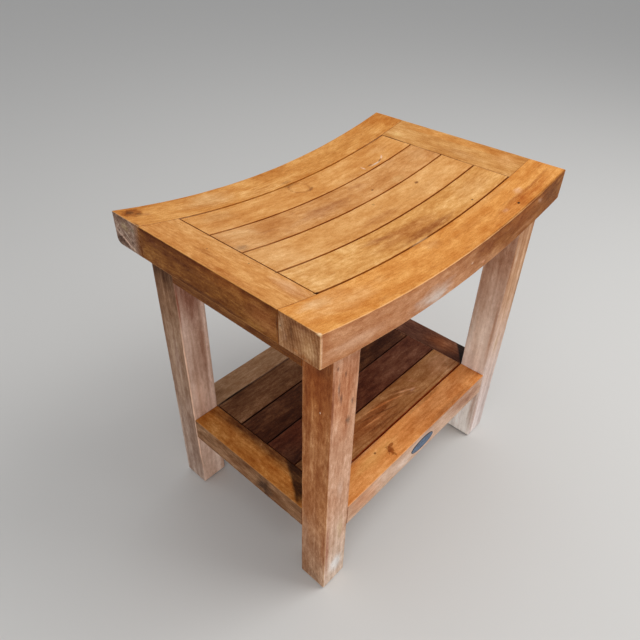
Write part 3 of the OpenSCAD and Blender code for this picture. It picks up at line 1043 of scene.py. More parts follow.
FRONT_RAIL_MARKS = FRONT_SEAM + marks(
    (-155, -122, 450, 80, 26, 20, 240, 184, 122, 0.75, 1),
    (-195, -114, 450, 30, 9, 20, 242, 200, 148, 0.5, 1.2),
    (110, -107.5, 440, 100, 6, 20, 230, 168, 98, 0.6, 1.4),
    (155, -134, 440, 90, 7, 20, 166, 88, 26, 0.85, 2),
    (140, -142, 440, 130, 12, 20, 188, 103, 32, 0.8, 1.4),
    (-8, -115, 430, 20, 10, 20, 178, 108, 52, 0.5, 1.4),
    (50, -121, 440, 70, 12, 20, 200, 128, 60, 0.45, 1.6),
    (158, -126, 440, 11, 7, 20, 226, 170, 128, 0.55, 1),
    (110, -137, 440, 8, 4, 20, 226, 170, 128, 0.5, 1),
    (134, -140.8, 440, 2.8, 2, 10, 44, 20, 6, 0.95, 0.3, 0.4, 0, 0, 25),
    (-55, -152.5, 404, 50, 3, 15, 224, 196, 176, 0.75, 1.4),
    (-50, -152.5, 399, 30, 3, 9, 228, 212, 200, 0.7, 1.4),
    (-180, -152.5, 419, 60, 2, 10, 232, 184, 148, 0.6, 1, 0.9, 0, 9, 0),
    (270, -152.5, 425, 340, 3.5, 70, 149, 86, 24, 0.95, 0.3, 0.5),
    (140, -152.5, 431.5, 100, 2, 9, 154, 80, 14, 0.6, 1.2, 0.9, 0, -8, 0),
    (45, -152.5, 413, 34, 2, 22, 142, 76, 26, 0.8, 1.2),
    (125, -152.5, 420, 40, 2, 12, 168, 100, 46, 0.5, 1.2),
    (140, -152.5, 409, 45, 2, 6, 206, 146, 98, 0.5, 1.2, 0.9, 0, -8, 0),
    (205, -152.5, 430, 45, 2, 30, 112, 58, 12, 0.8, 0.8),
    (170, -152.5, 432, 10, 2, 4, 196, 148, 116, 0.6, 1.2, 0.8, 0, 20, 0),
    (45, -152.5, 400, 6, 2, 3, 226, 160, 120, 0.6, 1.2, 0.8),
    (18, -152.5, 410, 3, 2, 2, 236, 206, 180, 0.6, 1, 0.8),
    (-230, -118, 436, 3, 8.5, 34, 128, 80, 44, 0.75, 0.4),
    (-230, -107.5, 442, 3, 4.5, 12, 180, 142, 108, 0.6, 1),
    (-230, -109.5, 428, 3, 4, 10, 158, 116, 84, 0.5, 1),
    (-230, -119, 440, 3, 1.5, 12, 84, 50, 24, 0.6, 0.6, 0.9, -7, 0, 0),
    (-230, -112.5, 430, 3, 1.8, 9, 100, 56, 38, 0.55, 0.6, 0.9, -12, 0, 0),
    (-230, -106, 438.5, 3, 1.5, 1.3, 88, 62, 40, 0.8, 0.6, 0.6),
    (-230, -138.5, 430, 3, 13, 16, 204, 158, 112, 0.75, 0.7, 0.8),
    (-230, -129, 449.5, 3, 20, 4.5, 126, 76, 46, 0.65, 0.6),
    (-230, -138, 419, 3, 10, 2, 160, 100, 52, 0.6, 1, 0.8),
    (-230, -151.5, 453.5, 4, 5, 3, 255, 226, 186, 0.95, 0.8, 0.8),
    (-228.5, -152.5, 434, 2, 2.2, 30, 244, 200, 162, 0.7, 1.2, 0.7),
)
BACK_RAIL_MARKS = marks(
    (0, 102.5, 435, 200, 1.2, 40, 202, 124, 42, 1, 0, 0.5, 0, 0, 0, 1),
    (-118, 128, 440, 50, 22, 20, 240, 194, 136, 0.6, 1.2),
    (-45, 113, 430, 45, 13, 20, 190, 118, 50, 0.55, 1.4),
    (80, 125, 440, 120, 12, 20, 206, 138, 62, 0.45, 1.2),
    (160, 146, 450, 90, 10, 20, 202, 124, 44, 0.6, 1),
    (210, 120, 450, 35, 40, 20, 212, 134, 52, 0.5, 1),
    (-10, 109, 430, 14, 5, 20, 150, 104, 62, 0.45, 1.4),
    (-213.5, 137.5, 450, 14, 11.5, 20, 168, 98, 30, 0.85, 1.7, 0.35),
    (-216.5, 139.5, 450, 6.5, 5.5, 20, 116, 66, 14, 0.8, 1.6, 0.6),
    (-209.5, 133, 450, 5, 4, 20, 126, 72, 20, 0.7, 1.4, 0.6),
    (-202.5, 128.5, 450, 5.5, 4.2, 20, 150, 78, 40, 0.8, 0.9, 0.5, 0, 0, 0, 0, 0.6),
    (-223.5, 103.5, 450, 4, 3, 20, 170, 92, 28, 0.65, 1.2, 0.7),
    (-230, 146.5, 422, 3, 9, 10, 100, 76, 64, 0.75, 1.2, 0.8),
    (-230, 131, 442.5, 3, 10, 6.5, 192, 168, 134, 0.8, 1),
    (-230, 115, 443.5, 3, 7, 6, 120, 102, 80, 0.8, 1),
    (-230, 137, 422.2, 3, 20, 4, 88, 56, 42, 0.85, 0.8, 0.9, 25, 0, 0),
    (-230, 133.5, 425.8, 3, 23.5, 2.1, 220, 184, 162, 0.9, 0.7, 0.9, 25, 0, 0),
    (-230, 119, 420, 3, 4, 2.4, 236, 206, 180, 0.8, 0.7, 0.9, 25, 0, 0),
    (-230, 130, 434, 3, 12, 1.2, 204, 180, 160, 0.6, 0.8, 0.9, 32, 0, 0),
    (-230, 127, 429.5, 3, 12, 1.1, 96, 70, 54, 0.6, 0.8, 0.9, 28, 0, 0),
    (-230, 143.5, 434, 3, 1.8, 1.6, 52, 32, 30, 0.9, 0.6, 0.6),
    (-230, 120, 427, 3, 2.4, 1.6, 70, 46, 36, 0.8, 0.8, 0.7),
    (-230, 142.8, 441, 3, 1.4, 1.2, 206, 184, 158, 0.8, 0.6, 0.6),
    (-230, 123.7, 437.7, 3, 2.2, 1.2, 210, 182, 146, 0.7, 0.8, 0.7),
    (-230, 100, 434, 4, 18, 70, 136, 86, 46, 1, 0.6, 0.8, 0, 0, 0, 1),
)
LEFT_RAIL_MARKS = LEFT_SEAM + SLATS_LEFT + marks(
    (-189.5, 50, 444, 7.5, 62, 20, 222, 160, 92, 0.55, 0.15, 0.15, 0, 0, 0, 1),
    (-209, 18, 446, 7, 30, 20, 180, 112, 50, 0.55, 1.8),
    (-203, 25, 446, 1.3, 1.2, 20, 92, 56, 26, 0.8, 0.6, 0.6),
    (-190, -22, 446, 1.3, 1.2, 20, 120, 84, 36, 0.8, 0.6, 0.6),
    (-192, -80, 446, 14, 35, 20, 230, 176, 128, 0.6, 1.2),
    (-225, -30, 446, 9, 85, 20, 186, 114, 50, 0.65, 0.8),
    (-223.5, 103.5, 450, 4, 3, 20, 170, 92, 28, 0.65, 1.2, 0.7),
    (-230, 103, 436, 3, 6, 30, 124, 76, 38, 0.6, 0.6),
    (-230, -85, 434, 3, 35, 20, 166, 104, 54, 0.7, 0.8),
    (-230, -102.2, 436, 3, 2.2, 22, 84, 48, 22, 0.8, 0.3, 0.8),
    (-230, 78, 443.5, 3, 20, 6, 98, 44, 8, 0.75, 1),
    (-230, 30, 439.5, 3, 70, 5.5, 98, 46, 8, 0.55, 1),
    (-230, 0, 418.5, 3, 100, 3, 84, 42, 14, 0.7, 1),
)
RIGHT_RAIL_MARKS = RIGHT_SEAM + marks(
    (220.5, 0, 446, 8, 110, 20, 214, 142, 66, 0.6, 0.5, 0.5, 0, 0, 0, 1),
    (212, -78, 446, 20, 30, 20, 230, 172, 110, 0.55, 1.2),
    (193, 85, 444, 9, 14, 20, 226, 176, 104, 0.65, 1.2),
    (196, -20, 444, 12, 50, 20, 212, 158, 100, 0.5, 1.4),
)
SLAT_1_MARKS = LEFT_SEAM + FRONT_SEAM + CHIPS + SLATS_LEFT + marks(
    (18, -92.5, 430, 70, 9.5, 20, 150, 80, 24, 0.85, 1.4, 0.8),
    (-5, -78, 430, 80, 20, 20, 182, 112, 52, 0.7, 1.4),
    (-45, -68, 430, 35, 7, 20, 174, 108, 58, 0.65, 1.4, 0.9, 0, 0, -8),
    (150, -75, 430, 65, 30, 20, 232, 178, 116, 0.6, 1.2),
    (108, -93.5, 430, 2, 1.6, 20, 96, 58, 26, 0.85, 0.4, 0.4),
)
SLAT_2_MARKS = LEFT_SEAM + SLATS_LEFT + marks(
    (101.7, -15.8, 430, 4.4, 3.2, 20, 126, 72, 26, 0.85, 0.8, 0.6),
    (20.7, -9.8, 430, 3, 2.2, 20, 160, 112, 60, 0.6, 0.6, 0.5),
    (0, -36, 430, 55, 11, 20, 190, 124, 66, 0.55, 1.5),
    (100, -30, 430, 60, 14, 20, 226, 170, 106, 0.45, 1.2),
)
SLAT_3_MARKS = LEFT_SEAM + SLATS_LEFT + marks(
    (165, 28, 440, 30, 18, 20, 232, 180, 122, 0.5, 1.2),
    (-35, 22, 430, 70, 16, 20, 174, 110, 62, 0.7, 1.5),
    (50, 14.8, 430, 2.4, 1.8, 20, 110, 66, 26, 0.85, 0.5, 0.5),
    (93, 9, 440, 18, 9, 20, 226, 174, 112, 0.65, 1.2, 0.7),
    (-171, 9, 440, 12, 10, 20, 160, 122, 88, 0.6, 1.2),
    (-150, 36, 440, 30, 12, 20, 222, 168, 108, 0.5, 1.2),
)
SLAT_4_MARKS = LEFT_SEAM + RIGHT_SEAM + SLATS_LEFT + marks(
    (60, 56, 430, 50, 12, 20, 192, 122, 56, 0.5, 1.2),
    (-9, 86, 430, 16.5, 16.5, 30, 166, 98, 34, 0.6, 0.25, 0.22, 0, 0, 0, 0, 1),
    (6, 93, 430, 10, 9, 20, 216, 150, 80, 0.7, 0.8, 0.7),
    (0, 73.5, 430, 9, 2.8, 20, 136, 76, 24, 0.75, 1, 0.8, 0, 0, 28),
    (-15, 100, 430, 14, 4, 20, 130, 92, 52, 0.6, 1.2),
    (110, 57.5, 435, 13, 1.6, 20, 236, 214, 194, 0.9, 1.6, 0.7),
    (121, 59.2, 435, 7, 1.3, 20, 128, 86, 62, 0.8, 1.2, 0.6, 0, 0, 20),
    (102, 60.5, 435, 6, 1.4, 20, 128, 86, 62, 0.75, 1.2, 0.6),
    (89, 62, 435, 1.6, 5.5, 20, 248, 206, 172, 0.95, 1, 0.6),
    (130, 63.5, 435, 7, 1.6, 20, 248, 208, 180, 0.7, 1.4, 0.6, 0, 0, 35),
    (150, 80, 430, 30, 16, 20, 226, 168, 108, 0.45, 1.2),
    (-140, 85, 440, 40, 15, 20, 196, 136, 76, 0.5, 1.2),
)
SLAT = Teak(front=Tone(176, 96, 24), end=Tone(176, 96, 24), under=Tone(178, 126, 82))
SEAT_FINISHES = {
    "seat_rail_front": Teak(
        top=Tone(222, 148, 70), front=Tone(197, 134, 89), end=Tone(158, 109, 69),
        clouds=Tone(190, 116, 52), cloud_spread=0.4, cloud_strength=0.45, cloud_size=(0.06, 0.014, 0.014),
        mottle=1.8, stripes=0.3, streaks=0.6, shade=0.24, wear=Tone(244, 188, 126), wear_strength=0.85,
        wear_zone=Mark((-0.18, -0.1525, 0.43), (0.46, 0.03, 0.1), Tone(0, 0, 0), 1.0, 0.6, 0.7),
        marks=FRONT_RAIL_MARKS,
    ),
    "seat_rail_back": Teak(
        top=Tone(216, 147, 72), front=Tone(190, 136, 96), end=Tone(149, 120, 102), mottle=2.2,
        wear=Tone(236, 190, 138), wear_strength=0.5, shade=0.0, dirt=Tone(126, 60, 6), dirt_strength=0.8,
        end_streaks=1.2, marks=BACK_RAIL_MARKS,
    ),
    "seat_cross_rail_left": Teak(
        top=Tone(216, 149, 79), front=Tone(150, 100, 60), end=Tone(126, 72, 20), mottle=1.6, streaks=1.0,
        clouds=Tone(184, 116, 54), cloud_spread=0.3, cloud_size=(0.03, 0.014, 0.014),
        wear=Tone(222, 158, 86), wear_strength=0.5, shade=0.45, shade_width=9 * MM, marks=LEFT_RAIL_MARKS,
    ),
    "seat_cross_rail_right": Teak(
        top=Tone(211, 150, 82), front=Tone(150, 100, 60), end=Tone(176, 122, 78), mottle=2.0,
        marks=RIGHT_RAIL_MARKS,
    ),
    "seat_slat_1": replace(
        SLAT, top=Tone(222, 160, 88), stripes=0.4, streaks=1.0, cloud_spread=0.3, marks=SLAT_1_MARKS
    ),
    "seat_slat_2": replace(SLAT, top=Tone(222, 159, 90), cloud_spread=0.15, marks=SLAT_2_MARKS),
    "seat_slat_3": replace(
        SLAT, top=Tone(212, 148, 84), clouds=Tone(186, 124, 76), cloud_spread=0.45, cloud_strength=0.45,
        cloud_size=(0.045, 0.024, 0.024), marks=SLAT_3_MARKS,
    ),
    "seat_slat_4": replace(SLAT, top=Tone(221, 154, 82), marks=SLAT_4_MARKS),
}


@dataclass
class Seat:
    """The dished seat: two long rails, two cross rails, four slats and a batten."""

    curve: SeatCurve
    gap: float = 0.5 * MM

    def lay(
        self, node: str, slot: str, thickness: float, cut: tuple[int, float] | tuple[()], **own: object
    ) -> None:
        """Builds one board flat, with its top at height 0, and bends it.

        Args:
            node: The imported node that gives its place.
            slot: The record's material slot.
            thickness: The board's thickness.
            cut: Axis and half length of what shows, where it has tongues beyond that.
            **own: The board's other fields.
        """
        low, high = corners_of(node, *cut)
        low[2], high[2] = -thickness, 0
        Board(node, low=low, high=high, warp=self.curve.bend, **own).build(slot, SEAT_FINISHES[node])

    def build(self) -> None:
        """Builds the rails and the slats, and dresses the batten and both sets of pegs."""
        rounded = Knock(0.0, 3, 6 * MM, 14 * MM, 8.0)
        for seed, node, joined, pith, knocks in (
            (11, "seat_rail_front", Side.BACK, (0.2, -0.085, 0.012), ()),
            (12, "seat_rail_back", Side.FRONT, (1.3, 0.055, -0.06), (rounded,)),
        ):
            self.lay(
                node, "seat_frame_teak", FRAME_THICKNESS, (), grain=Grain.ALONG_X, arris=OUTER_ARRIS,
                joined=(joined,), pith=pith, dents=9, seed=seed, end_ease=LONG_RAIL_ENDS, knocks=knocks,
            )
        inner_y = corners_of("seat_rail_back")[0][1]
        for seed, node, gapped, pith in (
            (13, "seat_cross_rail_left", Side.RIGHT, (2.2, 0.07, 0.09)),
            (14, "seat_cross_rail_right", Side.LEFT, (3.1, 0.05, -0.08)),
        ):
            self.lay(
                node, "seat_frame_teak", FRAME_THICKNESS, (1, inner_y), grain=Grain.ALONG_Y,
                arris=OUTER_ARRIS, joined=ENDS_Y, gapped=(gapped,), pith=pith, dents=4, seed=seed,
            )
        ends = corners_of("seat_cross_rail_right")[0][0] - self.gap
        for number in range(1, 5):
            self.lay(
                f"seat_slat_{number}", "seat_slat_teak", SLAT_THICKNESS, (0, ends), grain=Grain.ALONG_X,
                arris=SLAT_ARRIS, gapped=ENDS_Y + ENDS_X, dents=2, seed=20 + number,
                pith=(0.7 * number, 0.03 * number - 0.05, 0.07 + 0.02 * number),
            )
        under = Teak(top=Tone(150, 100, 60), front=Tone(150, 100, 62), end=Tone(130, 86, 52))
        dress("batten_teak", under.material("batten", Grain.ALONG_Y, on_board=False), "seat_batten")
        peg = Teak(top=Tone(176, 124, 78), front=Tone(176, 124, 78))
        dress("peg_teak", peg.material("leg pegs", Grain.ALONG_Y, on_board=False), "leg_tenon_pegs")
        dress("peg_teak", peg.material("cross pegs", Grain.ALONG_Z, on_board=False), "cross_rail_pegs")


FRONT_LEFT_MARKS = marks(
    (-183, -142.5, 340, 30, 2, 85, 204, 134, 90, 0.75, 0.7, 0.8),
    (-198.5, -142.5, 335, 3, 2, 70, 140, 76, 40, 0.7, 0.5),
    (-190, -142.5, 356, 2.8, 2, 18, 118, 84, 68, 0.7, 1.8),
    (-173, -142.5, 302, 6, 2, 9, 140, 112, 92, 0.7, 1.8),
    (-186, -142.5, 342, 3, 2, 12, 128, 88, 68, 0.7, 1.6),
    (-178, -142.5, 190, 8, 2, 30, 232, 196, 172, 0.5, 1.8),
    (-174, -142.5, 110, 9, 2, 30, 236, 208, 168, 0.5, 1.8),
    (-196.5, -142.5, 80, 6, 2, 90, 184, 120, 88, 0.7, 1),
    (-178, -142.5, 36, 16, 2, 24, 240, 236, 232, 0.8, 0.8, 0.8),
    (-193, -142.5, 386, 2.4, 2, 4, 96, 58, 40, 0.7, 1.4, 0.8),
    (-181, -142.5, 372, 2, 2, 6, 110, 66, 46, 0.6, 1.6, 0.8),
    (-168, -142.5, 327, 2.4, 2, 7, 104, 76, 60, 0.7, 1.6, 0.8),
    (-200, -122.5, 345, 2, 30, 100, 150, 77, 22, 0.7, 0.8),
    # painted shade at the top of the left face, just under the seat
    (-200, -122.5, 388, 2, 30, 22, 104, 54, 20, 0.6, 0.8),
    (-200, -105, 310, 2, 7, 90, 126, 68, 28, 0.35, 0.8),
    (-200, -139.5, 250, 2, 6, 90, 140, 80, 38, 0.55, 0.8),
    (-200, -118, 230, 2, 10, 18, 206, 144, 94, 0.5, 1.4),
    (-200, -128, 323, 2, 1, 1.6, 236, 206, 180, 0.8, 0.5, 0.5),
    (-200, -110, 75, 2, 8, 60, 204, 166, 138, 0.5, 1.2),
    (-200, -125, 12, 2, 20, 14, 120, 84, 60, 0.5, 1.4),
    (-200, -138.5, 90, 2, 6, 60, 160, 96, 54, 0.65, 0.8),
)
FRONT_RIGHT_MARKS = marks(
    (160, -122.5, 200, 2, 30, 90, 252, 222, 196, 0.5, 0.5),
    (160, -108, 190, 2, 6, 80, 250, 232, 216, 0.7, 1),
    (160, -120, 50, 2, 9, 40, 244, 232, 224, 0.5, 1),
    (160, -138, 70, 2, 6.5, 80, 178, 132, 106, 0.65, 0.8),
    (160, -130, 345, 2, 30, 60, 160, 108, 76, 0.75, 0.6),
    (160, -139, 210, 2, 4, 80, 196, 136, 98, 0.5, 0.8),
    (168, -142.5, 350, 6, 2, 40, 230, 192, 162, 0.6, 1),
    (162, -142.5, 320, 4.5, 2, 70, 152, 94, 56, 0.7, 0.6),
    (173, -142.5, 285, 5, 2, 20, 226, 184, 148, 0.5, 1.2),
    (182, -142.5, 280, 4, 2, 100, 186, 138, 96, 0.45, 1),
    (197, -142.5, 280, 5, 2, 90, 146, 100, 66, 0.6, 1),
    (163, -142.5, 50, 9, 2, 80, 176, 136, 114, 0.75, 1),
    (176, -142.5, 190, 10, 2, 30, 214, 176, 136, 0.45, 1.4),
)
BACK_LEFT_MARKS = marks(
    # the next three are painted shade on the leg's upper faces, under the seat
    (-200, 122.5, 345, 2, 30, 75, 122, 80, 48, 0.75, 0.8),
    (-200, 122.5, 380, 2, 30, 35, 90, 56, 26, 0.75, 0.8),
    (-182, 102.5, 340, 30, 2, 70, 146, 88, 62, 0.75, 0.7),
    (-200, 112, 158, 2, 10, 24, 202, 172, 154, 0.65, 1.2),
    (-200, 132, 125, 2, 6, 35, 138, 110, 94, 0.5, 1.2),
    (-198, 102.5, 330, 1.5, 2, 50, 166, 86, 52, 0.6, 1, 0.8),
    (-200, 120, 240, 2, 10, 40, 176, 146, 132, 0.4, 1.4),
    (-186, 102.5, 180, 17, 2, 45, 250, 214, 192, 0.8, 1),
    (-171, 102.5, 250, 11, 2, 90, 160, 110, 82, 0.65, 1),
)
# Each leg's shade, over its shade_width, is painted shade under the seat.
LEG_FINISHES = {
    "leg_front_left": Teak(
        front=Tone(211, 158, 124), end=Tone(166, 104, 58), clouds=Tone(146, 92, 60), cloud_strength=0.4,
        foot_front=Tone(221, 193, 171), foot_end=Tone(173, 131, 100), cloud_size=(0.03, 0.009, 0.009),
        mottle=1.8, stripes=0.9, streaks=1.0, shade=0.22, shade_width=110 * MM, wear_strength=0.35,
        wear_zone=Mark((-0.2, -0.1425, 0.1), (0.03, 0.03, 0.14), Tone(0, 0, 0), 1.0, 0.4, 0.5),
        marks=FRONT_LEFT_MARKS,
    ),
    "leg_front_right": Teak(
        front=Tone(203, 152, 112), end=Tone(206, 164, 137), clouds=Tone(188, 140, 106),
        foot_front=Tone(233, 216, 210), foot_end=Tone(248, 238, 228), foot_top=0.34, mottle=1.1,
        cloud_size=(0.08, 0.008, 0.008), stripes=1.2, streaks=0.7, shade=0.15, shade_width=90 * MM,
        wear_strength=0.0, marks=FRONT_RIGHT_MARKS,
    ),
    "leg_back_left": Teak(
        front=Tone(213, 177, 156), end=Tone(154, 119, 93), clouds=Tone(136, 104, 84),
        foot_front=Tone(224, 188, 166), foot_end=Tone(166, 138, 121), foot_top=0.3, mottle=1.4,
        cloud_size=(0.05, 0.01, 0.01), stripes=1.2, streaks=0.7, shade=0.4, shade_width=110 * MM,
        wear=Tone(236, 192, 164), wear_strength=1.0, wear_width=2.8 * MM,
        wear_zone=Mark((-0.2, 0.1025, 0.17), (0.03, 0.03, 0.14), Tone(0, 0, 0), 1.0, 0.4, 0.4),
        marks=BACK_LEFT_MARKS,
    ),
    "leg_back_right": Teak(
        front=Tone(190, 148, 122), end=Tone(170, 132, 104), clouds=Tone(140, 108, 88), mottle=2.0,
        foot_front=Tone(200, 166, 144), foot_end=Tone(186, 156, 134), foot_top=0.25, stripes=0.9,
        shade=0.2, shade_width=110 * MM,
    ),
}


@dataclass
class Stand:
    """The four legs and the two upper stretchers between them."""

    curve: SeatCurve

    def build(self) -> None:
        """Builds the legs up to the seat's underside, and the stretchers between them."""
        foot = corners_of("foot_pad_front_left")[0][2] + PAD_THICKNESS
        inner_y = corners_of("leg_back_left")[0][1]
        outer_x = corners_of("leg_back_right")[1][:1]
        top = float(self.curve.height(outer_x, FRAME_THICKNESS)[0])
        for seed, (node, finish) in enumerate(LEG_FINISHES.items(), start=31):
            low, high = corners_of(node)
            low[2], high[2] = foot, top
            Board(
                node, Grain.ALONG_Z, low, high, LEG_ARRIS, (Side.TOP,), (),
                partial(self.curve.fit_under, foot, top), (0.4 * seed, 0.06, -0.05), dents=8, seed=seed,
            ).build("leg_teak", finish)
        brown = Tone(124, 70, 32)
        finish = Teak(top=brown, front=brown, end=Tone(116, 66, 23), wear=Tone(82, 52, 34))
        for seed, node in enumerate(("apron_left", "apron_right"), start=41):
            low, high = corners_of(node, 1, inner_y)
            high[2] = top
            Board(
                node, Grain.ALONG_Y, low, high, OUTER_ARRIS, (Side.TOP, *ENDS_Y), (),
                partial(self.curve.fit_under, low[2], top), (0.9 * seed, 0.05, 0.06), seed=seed,
            ).build("apron_teak", finish)


SHELF_FRONT_MARKS = marks(
    (80, -122, 139, 140, 30, 4, 172, 102, 54, 0.6, 0.5),
    (-80, -119, 139, 70, 13, 4, 250, 188, 114, 0.7, 1.2),
    (150, -115, 139, 20, 8, 4, 230, 156, 90, 0.5, 1.2),
    (70, -139, 139, 90, 7, 4, 154, 88, 42, 0.6, 1),
    (-54.5, -126.5, 139, 9, 5, 6, 158, 78, 18, 0.85, 2.4, 0.4, 0, 0, 60),
    (-47, -121.5, 139, 6.5, 2.6, 6, 158, 78, 18, 0.8, 1.6, 0.4),
    (-55, -134.5, 139, 2.2, 3.4, 6, 162, 84, 26, 0.8, 1, 0.4),
    (-73, -115, 139, 2.6, 2, 6, 130, 66, 20, 0.8, 0.8, 0.5),
    (60, -106, 139, 75, 4, 3, 140, 80, 36, 0.5, 0.8, 0.8),
    (-100, -104.5, 139, 80, 3, 3, 206, 146, 98, 0.5, 1.2, 0.7),
    (115, -142.5, 121, 80, 2, 30, 174, 118, 86, 0.75, 1),
    (120, -142.5, 118, 14, 2, 10, 146, 92, 62, 0.6, 1.4),
    (0, -142.5, 120.5, 35, 2, 19, 238, 214, 204, 0.5, 0.8, 0.7),
    (-45, -142.5, 116, 30, 2, 14, 242, 216, 198, 0.6, 1),
    (-125, -142.5, 122, 50, 2, 30, 214, 148, 104, 0.75, 0.8),
)
SHELF_LEFT_MARKS = marks(
    # the next two are painted shadows: the seat's left end on the rail's inner strip and the slat ends,
    # then the front-left leg's on the rail
    (-159, 0, 139, 21, 140, 4, 84, 42, 16, 0.9, 0.5, 0.8, 0, 0, 0, 1),
    (-171.5, -71.2, 139, 40, 12.5, 4, 50, 25, 10, 0.9, 0.4, 0.4, 0, 0, 56, 1),
    (-187, -12, 139, 3, 6, 3, 226, 160, 96, 0.6, 1),
    (-167, 4, 139, 1.5, 1.5, 3, 190, 120, 80, 0.7, 0.8, 0.6),
    (-200, 45, 113, 2, 60, 10, 178, 134, 98, 0.5, 1),
    (-200, -36, 119, 2, 20, 20, 58, 34, 18, 0.8, 1, 0.8),
    (-200, 0, 113, 2, 10, 8, 118, 70, 34, 0.6, 1),
    (-200, -80, 120, 2, 20, 16, 166, 124, 90, 0.4, 1.2),
)
SHELF_RIGHT_MARKS = marks(
    (180, -55, 139, 24, 45, 4, 156, 92, 52, 0.6, 0.8),
    # painted shadow of the front-right leg on the rail's top
    (189, -93.3, 139, 40, 13, 4, 24, 11, 5, 0.97, 0.2, 0.25, 0, 0, 39, 1),
)
SHELF_FINISHES = {
    "shelf_rail_front": Teak(
        top=Tone(233, 153, 82), front=Tone(217, 178, 150), clouds=Tone(196, 124, 76), streaks=0.7,
        wear=Tone(232, 172, 124), wear_strength=0.5, wear_width=2.2 * MM, shade=0.3, shade_width=5 * MM,
        dirt=Tone(170, 88, 24), dirt_strength=0.5,
        wear_zone=Mark((-0.1, -0.1425, 0.13), (0.2, 0.03, 0.03), Tone(0, 0, 0), 1.0, 0.6, 0.6),
        marks=SHELF_FRONT_MARKS,
    ),
    "shelf_rail_back": Teak(
        top=Tone(167, 126, 90), front=Tone(170, 132, 108), clouds=Tone(120, 82, 56), dirt=Tone(60, 28, 8),
        dirt_strength=0.85, marks=SHELF_SEAMS[:1],
    ),
    "shelf_end_rail_left": Teak(
        top=Tone(190, 121, 54), end=Tone(137, 96, 63), streaks=1.0, clouds=Tone(140, 84, 36), mottle=2.4,
        cloud_spread=0.35, wear=Tone(190, 134, 84), dirt=Tone(70, 30, 6), dirt_strength=0.85,
        marks=SHELF_LEFT_MARKS,
    ),
    "shelf_end_rail_right": Teak(
        # its dark top and clouds are painted shade: the rail lies in the seat's shadow
        top=Tone(95, 55, 37), end=Tone(176, 134, 106), clouds=Tone(90, 52, 34), dirt=Tone(64, 28, 8),
        dirt_strength=0.85, marks=SHELF_RIGHT_MARKS,
    ),
}
FIRST_SLAT_MARKS = SHELF_SHADE + marks(
    (140, -80, 139, 50, 26, 4, 214, 154, 108, 0.65, 1.2),
    (-40, -76, 139, 90, 30, 4, 156, 80, 34, 0.55, 0.6),
    (60, -81, 139, 8, 3, 4, 206, 158, 134, 0.6, 1.4),
    (75, -70, 139, 4, 13, 4, 196, 134, 92, 0.5, 1.2, 0.8, 0, 0, 35),
    (45, -68, 139, 34, 2.4, 4, 136, 76, 38, 0.65, 0.8, 0.9, 0, 0, -22),
    (50, -74.5, 139, 30, 2.2, 4, 226, 166, 120, 0.8, 0.8, 0.8, 0, 0, -24),
    (20, -71, 139, 36, 2.2, 4, 220, 148, 92, 0.8, 0.8, 0.8, 0, 0, -17),
    (55, -85, 139, 24, 2.4, 4, 134, 78, 44, 0.6, 0.8, 0.9, 0, 0, -24),
    (-5, -66, 139, 36, 2.2, 4, 222, 148, 88, 0.8, 0.8, 0.8, 0, 0, -12),
    (0, -78, 139, 28, 1.8, 4, 110, 58, 24, 0.75, 1, 0.8, 0, 0, -17),
    (-30, -70, 139, 28, 2, 4, 116, 60, 24, 0.65, 1, 0.8, 0, 0, -12),
    (-30, -78, 139, 30, 2, 4, 212, 136, 78, 0.75, 1, 0.8, 0, 0, -8),
    (-20, -90, 139, 60, 3, 4, 118, 60, 24, 0.6, 1.4, 0.9, 0, 0, -6),
)
SECOND_SLAT_MARKS = SHELF_SHADE + SHELF_SEAMS[2:] + marks(
    (100, -30, 139, 70, 30, 4, 146, 94, 66, 0.55, 1.2),
)
SHELF_SLATS = [
    Teak(
        top=top, front=wall, end=wall, under=Tone(150, 104, 70), rings=rings, clouds=Tone(84, 48, 28),
        dirt=Tone(72, 32, 8), dirt_strength=0.8, mottle=2.2, marks=marked,
    )
    for top, wall, rings, marked in (
        (Tone(172, 115, 66), Tone(170, 70, 8), 0.35, FIRST_SLAT_MARKS),
        # slats 2 to 4 lie in the seat's shadow: their darker tops and walls are painted shade
        (Tone(100, 51, 29), Tone(88, 32, 4), 0.2, SECOND_SLAT_MARKS),
        (Tone(80, 41, 18), Tone(70, 32, 12), 0.2, SHELF_SHADE + SHELF_SEAMS[1:]),
        (Tone(119, 77, 46), Tone(70, 32, 12), 0.2, SHELF_SEAMS[:2]),
    )
]


